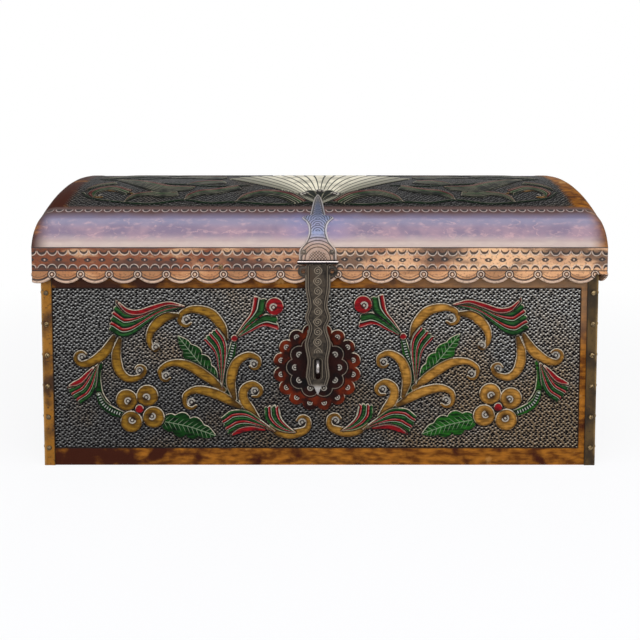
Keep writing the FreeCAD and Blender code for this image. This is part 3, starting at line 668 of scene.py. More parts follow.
def leather_paints(wire, sheet, on_lid):
    """The paints of the ornament by layer, from the lowest to the topmost."""
    run, side = wire.value("run"), wire.value("side")
    streaks = wire.noise(sheet, 0.0028, 4.0, (0.25, 1.0, 1.0))
    mottle = wire.noise(sheet, 0.025, 5.0)
    to_right = sheet.parts()[0].rise(-0.25, 0.25)
    rust = mottle.rise(0.4, 0.62).mix((26, 6, 3), (94, 29, 4))
    dark_petal = mottle.rise(0.35, 0.65).mix((8, 6, 6), (36, 11, 6))
    rubbed = (wire.noise(sheet, 0.011, 5.0) * 0.45 + streaks * 0.55).rise(0.32, 0.66)
    # Painted shade: the gold darkens near its edges and round its punch marks, for a rounded look, and near
    # the root of each stroke.
    edge_shade = wire.place("punch").parts()[2].rise(9.0, 3.0) * 0.8 | wire.value("gold").rise(-4.0, -0.9) * 0.6
    ochre = coats(
        rubbed.mix((76, 50, 9), (138, 101, 28)),
        (to_right, rubbed.mix((102, 68, 20), (176, 126, 54))),
        (edge_shade, (46, 27, 6)),
        (run.rise(24.0, 4.0) * 0.7, (30, 18, 6)))
    fresh = (6, 28, 7) if on_lid else to_right.mix((9, 52, 10), (30, 88, 20))
    forest = streaks.rise(0.3, 0.7).mix((0, 11, 1), fresh)
    vein = (run - abs(side) * 0.8).lines(6.4, 0.2) * abs(side).rise(10.0, 4.0) | abs(side).rise(0.7, 0.25)
    leaf = (vein * 0.5).mix(forest, (150, 166, 132))
    bars = run.lines(3.6, 0.4) * abs(side).rise(2.2, 1.6) * (0 - wire.value("stem")).rise(0.8, 1.4)
    stem = coats(forest, (abs(side).rise(3.2, 1.6), (12, 22, 14)), (bars * 0.6, (196, 202, 184)))
    vane = abs(wire.math("FRACT", side) - 0.5)
    if on_lid:
        bands = coats(
            (streaks * 0.5 + mottle * 0.5).rise(0.4, 0.6).mix((6, 10, 6), (26, 30, 19)),
            (abs(side - 1.0).rise(0.7, 0.4), (66, 14, 14)),
            (abs(side - 2.2).rise(0.7, 0.4), (16, 44, 14)),
            (vane.rise(0.36, 0.44) * mottle.rise(0.34, 0.58) * 0.4, (200, 190, 160)))
    else:
        bands = feather_pair(wire.math("FRACT", side * 0.5), streaks)
    shaded = mottle.rise(0.42, 0.62) * 0.4 | wire.value("arc").rise(124.0, 92.0) * 0.7
    plume = coats(
        vane.rise(0.44, 0.34).mix((30, 32, 22), (226, 218, 190)),
        (shaded | side.rise(3.5, 9.0) * 0.8, (40, 42, 28)))
    crimson = streaks.rise(0.3, 0.7).mix((70, 8, 12), (134, 14, 20))
    return [("stain", rust), ("petal", dark_petal), ("leaf", leaf), ("green", forest), ("stem", stem),
            ("gold", ochre), ("plume", plume), ("fan", bands), ("red", crimson)]


# %% Plain margin
def margin_finish(wire, sheet, on_lid):
    """The plain margin and its polish: amber leather, or on the lid a polished band with crescents,
    coloured partly with a painted reflection.
    """
    x, up = sheet.parts()[:2]
    polish = wire.value("polish")
    clouds = wire.noise(sheet, 0.035, 6.0)
    grain = wire.noise(sheet, 0.006, 3.0, (0.35, 1.0, 1.0))
    on_front = abs(x).rise(0.6, 0.45)
    shade = clouds + x.rise(-0.1, -0.36) * on_front * 0.2
    amber = coats(
        grain.rise(0.3, 0.7).mix((84, 44, 8), (150, 94, 26)),
        (shade.rise(0.5, 0.68), (54, 20, 6)),
        (shade.rise(0.38, 0.3), (164, 118, 60)))
    if not on_lid:
        under = up.rise(0.232, 0.244) * on_front
        corner = x.rise(0.33, 0.35) * up.rise(0.14, 0.22) * on_front
        amber = coats(
            amber,
            (under * x.rise(0.1, -0.3) * 0.4, (58, 42, 32)),
            (under * x.rise(0.0, 0.25) * 0.8 | corner * 0.6, (126, 100, 76)))
        return amber, polish
    arc = wire.value("arc")
    wavy = arc + (clouds - 0.5) * 9.0
    cracks = abs(wire.noise(sheet, 0.04, 5.0, (0.7, 1.0, 1.0)) - 0.5).rise(0.014, 0.003)
    scuffs = wire.noise(sheet, 0.006, 6.0, (0.5, 1.0, 1.0)).rise(0.5, 0.75)
    scuffs = (cracks * grain.rise(0.42, 0.6) | scuffs) * 0.3 * wavy.rise(6.0, 14.0)
    radius = (x * 1000).folded(13.0, 0.0).radius(arc - 59.5)
    low = arc.rise(60.5, 59.0) * polish.rise(0.3, 0.6)
    # The band: lavender, partly the bloom of old polish and partly a painted reflection of the sky, with a
    # painted grey-blue highlight above it and a painted blue reflection over the hasp, brown leather at the
    # top, a pale painted reflection of the bright ground along the rim, pink scuffs, and crescents with
    # painted shade inside and a painted highlight round them.
    band = coats(
        clouds.rise(0.35, 0.65).mix((104, 84, 104), (136, 106, 116)),
        (wavy.rise(24.0, 36.0) * 0.7, (108, 106, 128)),
        (abs(x + 0.0025).rise(0.06, 0.02) * 0.3, (88, 98, 150)),
        (wavy.rise(40.0, 56.0), (74, 46, 40)),
        (wavy.rise(19.0, 4.0) * (0.7 + 0.45 * grain), (180, 160, 148)),
        (scuffs * wavy.rise(48.0, 34.0), (206, 160, 150)),
        (radius.rise(4.6, 3.6) * low * 0.9, (20, 14, 14)),
        (abs(radius - 4.7).rise(1.0, 0.4) * low * 0.6, (176, 160, 152)))
    amber = abs(x).rise(0.345, 0.325).mix(amber, (70, 46, 40))
    return polish.mix(amber, band), polish


# %% Ground, margin, paints and punches together
def tooled_finish(name, on_lid):
    """Pebbled ground and plain margin, the paints with their cut edges, and the punch marks."""
    material, wire = new_finish(name)
    sheet = wire.place("sheet")
    clouds = wire.noise(sheet, 0.09)
    speckle = wire.noise(sheet, 0.0025, 2.0)
    ground, pit, lip = beaten_ground(wire, sheet, clouds, speckle, on_lid)
    margin, polish = margin_finish(wire, sheet, on_lid)
    field = wire.value("field")
    soft = 5.0 if on_lid else 0.4
    inside = (0 - field).rise(-soft, soft)
    color = inside.mix(margin, ground)
    height = (0.6 - pit * 0.6 + lip * 0.1) * inside
    lit = wire.value("slope").rise(-0.12, 0.2) * (0.55 + 0.4 * speckle.rise(0.35, 0.6))
    lit = lit * (0.5 if on_lid else 1.0)
    for layer, paint in leather_paints(wire, sheet, on_lid):
        distance = wire.value(layer)
        covered = (0 - distance).rise(-0.3, 0.3)
        groove = distance.rise(0.2, 0.8) * distance.rise(2.6, 1.2)
        edge = abs(distance + 0.3).rise(0.8, 0.3)
        color = coats(color, (covered, paint), (groove * 0.85, (12, 10, 9)), (edge * lit, (192, 180, 156)))
        height = height * (1 - covered) * (1 - groove) + covered * 0.55 + edge * 0.25
    # Punch marks: painted shade in the hollow, and painted highlights on the raised crescent and the pearl.
    along, aside, far = wire.place("punch").parts()
    near = far.rise(5.6, 5.0)
    radius = along.radius(aside)
    hollow = radius.rise(3.6, 2.7) * near
    crescent = abs(radius - 2.9).rise(1.0, 0.5) * along.rise(-1.7, -1.0)
    raised = (crescent | radius.rise(1.5, 0.9)) * near
    border = abs(field).rise(1.3, 0.5) * (0.0 if on_lid else 0.8)
    color = coats(
        color,
        (hollow * 0.8, (24, 15, 12)),
        (raised * (0.3 + 0.6 * speckle), (192, 184, 168)),
        (border, (24, 19, 17)))
    height = height - hollow * 0.4 + raised * 0.6 - border * 0.4 + speckle * 0.06
    roughness = 0.5 + 0.2 * clouds - 0.3 * polish
    close_finish(wire, color, roughness, height, 0.0016,
                 {"Coat Weight": polish, "Coat Roughness": 0.14, "Specular IOR Level": 0.08})
    return material


painted_leather = tooled_finish("painted_tooled_leather", False)
dress(front_leather, "trunk_body", "tooled_leather", painted_leather, "front_leather")

# %% [markdown]
# The end panels.
# The photograph shows the front alone. Trunks of this kind carry the same pebbled ground on their
# ends with one plain motif, so each end repeats the rosette of the front between two toothed
# leaves. The drawing uses the same functions on a sheet that stands across the first one.

# %% End leathers
def end_sheet(name, node, side):
    """A tooled end: a sheet in the plane of y and z, turned so that its relief points along side."""
    low, high = (np.array(corner) * 1000 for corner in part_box(node))
    along, up = np.meshgrid(np.linspace(low[1], high[1], 251), np.linspace(low[2], high[2], 171))
    sheet = Tooling(np.abs(along), up, layers)
    draw_leaf(sheet, [(66, 128), (108, 142), (152, 128)], 15.0, 7)
    sheet.across = along
    draw_rosette(sheet, np.array([0.0, 130.0]))
    field_half_y, field_half_z, field_middle = 176.0, 109.8, 130.2
    sheet.layers["field"] = np.maximum(np.abs(along) - field_half_y, np.abs(up - field_middle) - field_half_z)
    outer, inner = (high[0], low[0]) if side > 0 else (low[0], high[0])
    face = outer + side * (raised_relief(sheet) - ground_sink)
    rings = sheet_rings(along, up, face, inner)[..., [1, 0, 2]]
    values = sheet_values(sheet, along + side * 900, up)
    dress(loft(name, rings, values), "trunk_body", "tooled_leather", painted_leather, node)


sides = ((-1, "left"), (1, "right"))
for side, label in sides:
    end_sheet("tooled_" + label + "_end", label + "_end_leather", side)

# %% [markdown]
# The lid.
# The lid is a coopered dome: a tight shoulder at the front and the back, and a flatter crown
# between them. A sheet on it needs only two numbers, the distance along the trunk and the arc
# length over the dome, because three tangent arcs turn the arc length into a place and a normal.
# The ends of the sheet roll over with a radius that grows from the rim to the crown.

# %% The dome as a curve
spring_z, dome_front_y, dome_back_y, dome_top_z = 296.0, -205.0, 195.5, 387.0
shoulder_radius, crown_radius = 52.0, 353.27
dome_middle_y = (dome_front_y + dome_back_y) / 2
joint_turn = math.acos((dome_front_y + shoulder_radius - dome_middle_y) / (crown_radius - shoulder_radius))
shoulder_length = shoulder_radius * (math.pi - joint_turn)
dome_length = 2 * shoulder_length + crown_radius * (2 * joint_turn - math.pi)
lid_half_x, leather_thick = 380.0, 3.0


def over_dome(arc):
    """Place (y, z) and outward normal (y, z) at an arc length from the front rim: three arcs in a row."""
    front, back = arc < shoulder_length, arc > dome_length - shoulder_length
    turn = np.interp(arc, [0.0, shoulder_length, dome_length - shoulder_length, dome_length],
                     [math.pi, joint_turn, math.pi - joint_turn, 0.0])
    radius = np.where(front | back, shoulder_radius, crown_radius)
    middle_y = np.where(front, dome_front_y + shoulder_radius, dome_middle_y)
    middle_y = np.where(back, dome_back_y - shoulder_radius, middle_y)
    middle_z = np.where(front | back, spring_z, dome_top_z - crown_radius)
    normal = np.stack([np.cos(turn), np.sin(turn)], -1)
    return np.stack([middle_y, middle_z], -1) + radius[..., None] * normal, normal


def at(x, place):
    """Points from their x and their place (y, z)."""
    return np.stack([x + 0 * place[..., 0], place[..., 0], place[..., 1]], -1)


def end_roll(arc):
    """The radius of the rolled end: 4 mm at the rims and 20 mm over the crown."""
    from_rim = np.minimum(arc, dome_length - arc)
    return 4.0 + 16.0 * np.clip(from_rim / shoulder_length, 0, 1)


print("arc over the dome in mm:", round(dome_length, 1))

# %% Drawing of the lid
lid_fans = [
    ([(20, 88), (44, 114), (80, 124), (106, 107), (116, 82)],
     [(38, 77), (54, 92), (79, 100), (98, 92), (115, 81)], 5),
    ([(122, 142), (150, 128), (172, 122), (186, 106), (188, 88)],
     [(114, 122), (142, 107), (166, 101), (187, 87)], 5),
    ([(206, 116), (232, 117), (254, 112), (267, 100), (270, 81)],
     [(200, 98), (224, 94), (240, 100), (256, 94), (269, 80)], 5),
    ([(182, 138), (216, 142), (244, 160), (276, 173), (304, 172)],
     [(188, 118), (224, 112), (244, 121), (270, 141), (303, 170)], 7),
    ([(270, 124), (296, 140), (320, 130), (328, 108), (316, 94)],
     [(278, 106), (296, 120), (308, 115), (313, 106), (315, 95)], 4),
    ([(144, 204), (170, 214), (200, 208), (227, 190)],
     [(148, 178), (170, 181), (198, 186), (226, 188)], 6),
    ([(228, 222), (272, 232), (314, 208), (328, 178)],
     [(238, 198), (268, 202), (300, 187), (327, 178)], 7),
    ([(148, 170), (166, 172), (184, 163), (195, 146)],
     [(138, 150), (158, 147), (176, 145), (194, 145)], 5),
    ([(96, 236), (150, 244), (206, 234), (240, 210)],
     [(106, 212), (152, 220), (202, 215), (239, 209)], 6),
    ([(306, 160), (322, 150), (332, 134), (334, 116)],
     [(298, 146), (312, 142), (324, 132), (333, 117)], 4),
]
lid_plume = ([(-4, 214), (-4, 170), (-3, 124), (-1, 84)], [(132, 176), (90, 146), (50, 118), (11, 82)], 9)
lid_curl = [(252, 103), (280, 114), (304, 121), (316, 110), (314, 96), (304, 96)]
lid_vines = [
    [(12, 80), (60, 74), (116, 81), (152, 78), (188, 87), (230, 76), (270, 80), (316, 92), (336, 112)],
    [(104, 142), (150, 138), (194, 146), (236, 154), (270, 172), (304, 172), (328, 178)],
    [(142, 186), (180, 196), (226, 190), (262, 182), (300, 176)],
    [(76, 232), (124, 226), (180, 226), (240, 210), (290, 190), (328, 178)],
]
print("on the lid:", len(lid_fans), "fans and", len(lid_vines), "vines in each quarter")


def draw_lid(sheet):
    """Leaf sprays along vines on both sides of a plume that opens above the hasp."""
    for points in lid_vines:
        sheet.stroke("green", points, (2.0, 2.8, 2.8, 2.4, 1.6))
    sheet.stroke("gold", lid_curl, (1.6, 3.0, 4.2, 3.6, 2.0))
    sheet.mark((308, 103), 0.5, 0.9)
    sheet.fan("plume", *lid_plume, tip=9.0)
    for first, last, bands in lid_fans:
        sheet.fan("fan", first, last, bands)
    sheet.fan("fan", [(-3, 112), (-2, 102), (0, 88)], [(26, 101), (15, 95), (4, 85)], 3, 3, 7.0)
    sheet.mark((0, 116), 1.57, 2.0)
    sheet.mark((21, 106), 0.9, 1.8)


# %% Lid leather
lid_arc = np.linspace(0.0, dome_length, 225)[:, None]
roll = end_roll(lid_arc)
roll_turn = np.linspace(0.0, math.pi / 2, 9)
flat = np.linspace(-1.0, 1.0, 415)[1:-1]
lid_x = np.concatenate([-lid_half_x + roll - roll * np.cos(roll_turn), flat * (lid_half_x - roll),
                        lid_half_x - roll + roll * np.cos(roll_turn[::-1])], 1)
sunk = np.concatenate([roll - roll * np.sin(roll_turn), 0 * flat * roll,
                       roll - roll * np.sin(roll_turn[::-1])], 1)
lid_s = lid_arc + 0 * lid_x
lid = Tooling(np.abs(lid_x), np.minimum(lid_s, dome_length - lid_s), layers)
draw_lid(lid)
field_half_x, field_start = 346.0, 68.0
lid.layers["field"] = np.maximum(np.abs(lid_x) - field_half_x, field_start - lid.up)
relief = raised_relief(lid) * step(lid.layers["field"], 14.0, 12.0)
place, normal = over_dome(lid_s)
lid_ground_sink, inner_roll = 0.6, 12.0
outside = at(lid_x, place + (relief - lid_ground_sink - sunk)[..., None] * normal)
end_x, flat_x = lid_half_x - leather_thick, lid_half_x - inner_roll
inside_x = np.array([end_x, end_x, flat_x, -flat_x, -end_x, -end_x])
short_roll, sheet_back = np.minimum(roll, inner_roll), leather_thick + 0 * roll
inside_sunk = np.concatenate([roll, short_roll, sheet_back, sheet_back, short_roll, roll], 1)
place, normal = over_dome(lid_arc + 0 * inside_sunk)
inside = at(inside_x, place - inside_sunk[..., None] * normal)
lid_values = lid.numbers()
lid_values["sheet"] = np.stack([lid_x, lid_s + 1500, 0 * lid_x], -1) / 1000
lid_values["arc"] = lid.up
lid_values["polish"] = step(lid.up, field_start, 62.0) * step(np.abs(lid_x), 381.0, 352.0)
for name, numbers in lid_values.items():
    lid_values[name] = np.concatenate([numbers, np.repeat(numbers[:, -1:], len(inside_x), 1)], 1)
lid_leather = tooled_finish("tooled_lid_leather", True)
dress(loft("tooled_lid", np.concatenate([outside, inside], 1), lid_values),
      "lid", "tooled_leather", lid_leather, "lid_dome_leather")


# %% Lid ends
def lid_end(name, node, side):
    """A half moon under the dome: each station runs from the rim up to where the rolled end stops."""
    arc = np.linspace(0.0, dome_length, 121)
    place, normal = over_dome(arc)
    top = place - end_roll(arc)[:, None] * normal
    share = np.linspace(0.0, 1.0, 25)
    up = spring_z + share * (top[:, 1:] - spring_z)
    along = top[:, :1] + 0 * up
    bulge = 0.5 * np.sin(math.pi * share) * np.sin(math.pi * arc[:, None] / dome_length)
    front = np.stack([side * (lid_half_x - 0.3 + bulge), along, up], -1)
    back = front[:, [-1, 0]].copy()
    back[..., 0] = side * (lid_half_x - leather_thick)
    values = sheet_values(Tooling(along, up, layers), along + side * 700, up + 900)
    piece = loft(name, np.concatenate([front, back], 1), values)
    dress(piece, "lid", "tooled_leather", painted_leather, node)


for side, label in sides:
    lid_end("amber_" + label + "_end", "lid_" + label + "_leather", side)

# %% [markdown]
# The valance.
# A band of thicker leather hangs over the joint between lid and body. Its lower edge is cut in
# scallops with a rolled rim, a ringed punch closes the gap between two scallops, and above them
# run two rows of crescents with a row of eyes between. All rows repeat, so the finish draws each
# mark once and folds the coordinate along the band by the pitch of its row.

# %% Stamped leather
def crescents(across, up, size):
    """Crescents that hang down: a disc less a second one that is moved up, and the pale lip below, a
    painted highlight. The mark itself carries painted shade.
    """
    outer = across.radius(up) - 6.0 * size
    inner = across.radius(up - 3.4 * size) - 6.1 * size
    pressed_shade = (0 - outer).rise(-0.3, 0.4) * inner.rise(-0.4, 0.3)
    return pressed_shade, abs(outer - 0.8).rise(0.9, 0.4) * up.rise(0.5, -1.5)


def stamped_finish(name, pitch, phase):
    """Tan leather with the rows of the band: z is the height of each mark in mm. The marks carry
    painted shade and their lips painted highlights.
    """
    material, wire = new_finish(name)
    sheet = wire.place("sheet")
    x, z = (axis * 1000 for axis in sheet.parts()[:2])
    clouds = wire.noise(sheet, 0.05)
    grain = wire.noise(sheet, 0.003, 4.0)
    streaks = wire.noise(sheet, 0.02, 4.0, (0.3, 1.0, 1.0))
    scallops = z.rise(265.2, 264.4)
    row = x.folded(pitch / 37.6 * 13.5, phase)
    wander = (streaks - 0.5) * 4.0
    high_marks, high_lips = crescents(row + wander, z - 291.4 + wander, 0.88)
    low_marks, low_lips = crescents(row + wander, 267.4 - z + wander, 0.8)
    eye_x, eye_z = x.folded(pitch / 2, phase + pitch / 4) + wander, z - 279.4 - wander
    eye = eye_x.radius(abs(eye_z) + 3.4) - 6.2
    pearl = eye_x.radius(eye_z).rise(1.5, 0.8)
    ring = x.folded(pitch, phase).radius(z - 260.2)
    rim = wire.value("rim")
    low = scallops * ring.rise(5.4, 6.0)
    pressed_shade = high_marks | low_marks | eye.rise(0.3, -0.5) * pearl.rise(0.6, 0.2)
    pressed_shade = pressed_shade | abs(ring - 5.4).rise(0.9, 0.4) | abs(ring - 2.6).rise(0.9, 0.4)
    pressed_shade = pressed_shade | abs(z - 264.8).rise(0.8, 0.3) | z.rise(294.0, 295.4)
    pressed_shade = pressed_shade | abs(rim - 4.6).rise(1.4, 0.6) * low | abs(rim - 8.2).rise(0.8, 0.3) * low * 0.5
    lip = (high_lips | low_lips) * 0.9 | pearl * 0.8 | abs(ring - 4.0).rise(1.0, 0.4) | ring.rise(1.6, 0.9)
    roll = rim.rise(4.2, 3.0) * low
    faded = (wire.value("age") * 0.8 + (clouds - 0.5) * 1.3).rise(0.1, 0.85)
    pale = clouds.mix((172, 162, 154), (224, 200, 172))
    # Painted highlights on the lips, pearls and rings, and a pale rolled rim; painted shade in the stamped
    # marks and cut lines, and a dark seam along the top.
    color = coats(
        faded.mix((112, 52, 10), (214, 166, 122)),
        (streaks.rise(0.46, 0.62) * 0.8, (50, 24, 10)),
        (streaks.rise(0.44, 0.34) * 0.5, (226, 180, 132)),
        (scallops * 0.5, (196, 136, 82)),
        (roll * 0.55 | lip * (0.4 + 0.7 * grain), pale),
        (pressed_shade * 0.92, (24, 14, 10)),
        (grain.rise(0.52, 0.66) * 0.5, (52, 30, 18)))
    height = 0.5 + lip * 0.3 + roll * 0.3 - pressed_shade * 0.6 + grain * 0.1
    close_finish(wire, color, 0.32 + 0.25 * grain, height, 0.0013,
                 {"Coat Weight": 0.15, "Coat Roughness": 0.25, "Specular IOR Level": 0.35})
    return material


# %% Scalloped bands
scallop_radius, scallop_z, corner_radius, plain_edge_z = 26.0, 274.0, 4.0, 260.0


def folded(along, pitch, phase):
    """The distance along the band from the nearest mark of a row."""
    return (along - phase + pitch / 2) % pitch - pitch / 2


def scallop_edge(along, pitch, phase):
    """The low edge of a scallop: an arc about a point in the band."""
    return scallop_z - np.sqrt(scallop_radius ** 2 - folded(along, pitch, phase + pitch / 2) ** 2)


def band_piece(name, node, along, low_edge, pitch, phase, to_place):
    """A scalloped band: each station runs down the outside from the seam to its low edge and up the back."""
    share = np.linspace(0.0, 1.0, 40)
    up = spring_z + share * (low_edge[:, None] - spring_z)
    line = along[:, None] + 0 * up
    drop = np.minimum(up - scallop_z, 0.0)
    rim = scallop_radius - np.hypot(folded(line, pitch, phase + pitch / 2), drop)
    from_low = up - low_edge[:, None]
    out = 0.9 * step(rim, 4.2, 3.0) * step(from_low, 0.0, 1.6) * (up < 262.0)
    out -= 0.8 * step(from_low, 0.8, 0.0)
    front = to_place(line, out - 0.3, up)
    back = to_place(line[:, [-1, 0]], np.full((len(along), 2), -leather_thick), up[:, [-1, 0]])
    values = {"rim": with_back(rim), "age": with_back(np.clip(0.5 + line / (2 * lid_half_x), 0, 1))}
    values["sheet"] = with_back(np.stack([line, up, 0 * up], -1) / 1000)
    finish = stamped_finish(name + "_leather", pitch, phase)
    dress(loft(name, np.concatenate([front, back], 1), values), "lid", "tooled_leather", finish, node)


def on_front(along, out, up):
    """On the front of the lid, with its upright corners rounded."""
    inset = np.clip(np.abs(along) - (lid_half_x - corner_radius), 0.0, corner_radius)
    rounded = corner_radius - np.sqrt(corner_radius ** 2 - inset ** 2)
    return np.stack([along, dome_front_y - out + rounded, up], -1)


# %% Front band
steps_per_scallop = 24
front_pitch, front_phase = 37.6, -13.7
scalloped = np.arange(-10 * steps_per_scallop, 10 * steps_per_scallop + 1) / steps_per_scallop
scalloped = front_phase + front_pitch * scalloped
scalloped = np.concatenate([[-lid_half_x], scalloped[scalloped > -lid_half_x + 0.2]])
plain = np.linspace(scalloped[-1] + 0.01, lid_half_x, 12)
front_edge = scallop_edge(scalloped, front_pitch, front_phase)
front_edge = np.concatenate([front_edge, np.full(len(plain), plain_edge_z)])
band_piece("scalloped_front_band", "valance_front", np.concatenate([scalloped, plain]), front_edge,
           front_pitch, front_phase, on_front)

# %% Side bands
side_pitch, side_start = 39.45, -202.0
side_along = side_start + side_pitch / steps_per_scallop * np.arange(10 * steps_per_scallop + 1)
side_edge = scallop_edge(side_along, side_pitch, side_start)
for side, label in sides:
    band_piece("scalloped_" + label + "_band", "valance_" + label, side_along, side_edge,
               side_pitch, side_start,
               lambda along, out, up, side=side: np.stack([side * (lid_half_x + out), along, up], -1))

# %% [markdown]
# Corner bindings and tacks.
# A strip of amber leather is folded round each upright corner and nailed down with brass tacks.
# The strip is an angle profile carried up the corner, a little wavy, and sunk under each tack.

# %% Binding leather
amber_strip, wire = new_finish("amber_binding_leather")
where = wire.spot()
clouds = wire.noise(where, 0.03, 5.0)
grain = wire.noise(where, 0.004, 4.0)
patches = clouds.rise(0.35, 0.62)
strip_color = coats(
    patches.mix((58, 33, 7), (138, 90, 18)),
    (where.parts()[0].rise(-0.1, 0.1), patches.mix((40, 29, 12), (80, 60, 26))),
    (grain.rise(0.55, 0.75), (46, 30, 16)),
    (wire.value("edge") * clouds.rise(0.3, 0.6) * 0.6, (190, 156, 98)),
    (wire.value("fold_line") * 0.8, (26, 19, 13)))
close_finish(wire, strip_color, 0.35 + 0.25 * grain, clouds * 0.6 + grain * 0.4, 0.0008,
             {"Coat Weight": 0.1, "Coat Roughness": 0.3, "Specular IOR Level": 0.15})

# %% Bindings
body_half_x, body_half_y, body_top_z = 371.0, 197.0, 260.0
tack_heights = 24.0 + 42.0 * np.arange(6)
leg, thick, fold_radius = 15.0, 1.5, 2.5
corner_turn = np.linspace(0.0, math.pi / 2, 7)
leg_steps = np.linspace(0.0, 1.0, 9)
to_corner = leg - leg_steps[:-1] * (leg - fold_radius)
from_corner = fold_radius + leg_steps[1:] * (leg - fold_radius)
outer_a = np.concatenate([to_corner, fold_radius - fold_radius * np.sin(corner_turn), 0 * from_corner])
outer_b = np.concatenate([0 * to_corner, fold_radius - fold_radius * np.cos(corner_turn), from_corner])
inner_a = np.array([thick, thick, leg])
inner_b = np.array([leg, thick, thick])
from_fold = np.concatenate([outer_a + outer_b, [leg, 2 * thick, leg]])
strip_z = np.linspace(0.0, body_top_z, 131)[:, None]
sink = 0.5 * np.exp(-((strip_z - tack_heights) / 6.0) ** 2).sum(1, keepdims=True)
for side_x, label_x in sides:
    for side_y, label_y in ((-1, "front"), (1, "back")):
        label = label_y + "_" + label_x
        wave = 0.22 * np.sin(strip_z / 17.0 + 2 * side_x + side_y) + 0.15 * np.sin(strip_z / 7.3 + side_y)
        dent = (sink + 0.3 - wave) * np.exp(-((outer_a + outer_b - leg / 2) / 5.0) ** 2) * 0.6
        a = np.concatenate([outer_a + dent * (outer_b > outer_a), inner_a + 0 * strip_z], 1)
        b = np.concatenate([outer_b + dent * (outer_a >= outer_b), inner_b + 0 * strip_z], 1)
        rings = np.stack([side_x * (body_half_x - a), side_y * (body_half_y - b), strip_z + 0 * a], -1)
        worn = {"edge": step(from_fold, 3.5, 0.5) + 0 * a, "fold_line": step(from_fold, 13.4, 14.6) + 0 * a}
        dress(loft(label + "_strip", rings, worn), "trunk_body", "binding_leather", amber_strip,
              label + "_binding")


# %% Lathe work
def turned(places, directions, profile, sides=14):
    """Turned solids: each (radius, height) of the profile is a ring round a direction at each place."""
    directions = np.asarray(directions, float)
    first = np.cross(directions, [0.3, 0.2, 0.93])
    first /= np.linalg.norm(first, axis=1)[:, None]
    second = np.cross(directions, first)
    turn = np.arange(sides) * 2 * math.pi / sides
    circle = first[:, None] * np.cos(turn)[:, None] + second[:, None] * np.sin(turn)[:, None]
    radius, height = np.asarray(profile, float).T
    return (np.asarray(places, float)[:, None, None] + radius[:, None, None] * circle[:, None]
            + height[:, None, None] * directions[:, None, None])


# %% Brass tacks
brass, wire = new_finish("worn_brass")
spots = wire.noise(wire.spot(), 0.002, 4.0)
patches = wire.noise(wire.spot(), 0.03, 3.0)
brass_color = coats(
    spots.rise(0.4, 0.62).mix((78, 62, 38), (158, 136, 98)),
    (patches.rise(0.5, 0.7), (92, 78, 58)))
close_finish(wire, brass_color, 0.3 + 0.3 * spots, spots, 0.0003, {"Metallic": 0.9})
dome_head = [(1.0, -7.0), (1.3, -0.4), (3.25, -0.4), (3.3, 0.4), (2.9, 1.3), (2.0, 1.9),
             (1.0, 2.15), (0.1, 2.2)]
corner_places, corner_ways = [], []
for side_x in (-1, 1):
    for side_y in (-1, 1):
        for z in tack_heights:
            corner_places += [(side_x * (body_half_x - leg / 2), side_y * body_half_y, z),
                              (side_x * body_half_x, side_y * (body_half_y - leg / 2), z)]
            corner_ways += [(0, side_y, 0), (side_x, 0, 0)]
dress(loft("brass_corner_tacks", turned(corner_places, corner_ways, dome_head)),
      "trunk_body", "tack_brass", brass, "corner_tacks")
band_tack_z = 269.7
band_tacks, band_ways = [(-130.0, dome_front_y, band_tack_z)], [(0, -1, 0)]
for side in (-1, 1):
    for reach in (-120.0, 120.0):
        band_tacks.append((side * lid_half_x, dome_middle_y + reach, band_tack_z))
        band_ways.append((side, 0, 0))
dress(loft("brass_band_tacks", turned(band_tacks, band_ways, dome_head)),
      "lid", "tack_brass", brass, "valance_tacks")

# %% [markdown]
# The hasp.
# The upper plate is a thin bright sheet, bent over the shoulder of the lid and engraved with
# nested arcs. A strap hangs from it on a pin, and its slot drops over a staple. Plate and strap are
# sheets like the others, with a width that changes along their length. Each point carries its
# place on the sheet and its distance from the side, and the finish draws the engraving from those.

# %% Steel and iron
def metal_finish(name, dark, bright, rust, roughness, engraving=None):
    """Worn metal: bright where it is rubbed, dark in its pits and cuts, with a little rust."""
    material, wire = new_finish(name)
    where = wire.spot()
    pits = wire.noise(where, 0.003, 5.0)
    patches = wire.noise(where, 0.03, 4.0)
    color = (pits * 0.5 + patches * 0.5).rise(0.36, 0.6).mix(dark, bright)
    color = (patches.rise(0.55, 0.72) * 0.6).mix(color, rust)
    height = pits * 0.25 + patches * 0.2
    if engraving:
        # The barrel's and the plate's engravings bring painted light: a highlight, a shade, a reflection.
        cut, raised, shine = engraving(wire)
        color = coats(color, (raised, shine), (cut, (22, 18, 16)))
        height = height + raised * 0.6 - cut * 0.5
    close_finish(wire, color, roughness + 0.2 * pits, height, 0.0007, {"Metallic": 0.8})
    return material


def plate_engraving(wire):
    """Nested arcs about the foot of the plate, cross-hatching inside them, and scales up the tongue,
    over a painted reflection.
    """
    across, up, from_side = wire.place("engraving").parts()
    from_foot = across.radius(up - 3.0)
    arcs = from_foot.lines(4.2, 0.45) * up.rise(37.0, 34.0) * from_foot.rise(13.0, 13.6)
    hatch = ((across + up).lines(4.0, 0.35) | (across - up).lines(4.0, 0.35)) * from_foot.rise(12.4, 11.8)
    scales = across.radius(up.folded(9.0, 0.0) + 6.0).lines(3.2, 0.35) * up.rise(39.0, 41.0)
    inner = from_side.rise(3.0, 3.6)
    edge = abs(from_side - 2.6).rise(0.9, 0.45)
    cuts = (arcs | hatch | scales) * inner | edge
    # Painted reflection: blue in the middle where the steel mirrors the sky, tan at the foot, dark over the
    # shoulder, and a pale painted highlight along the sides.
    painted_reflection = coats(
        up.rise(20.0, 40.0).mix((190, 156, 132), (106, 124, 162)),
        (up.rise(84.0, 106.0), (60, 68, 74)),
        (from_side.rise(6.0, 1.6) * 0.7, (184, 174, 164)))
    return cuts * 0.75, 0.5 + from_side.rise(2.2, 1.6) * 0.4, painted_reflection


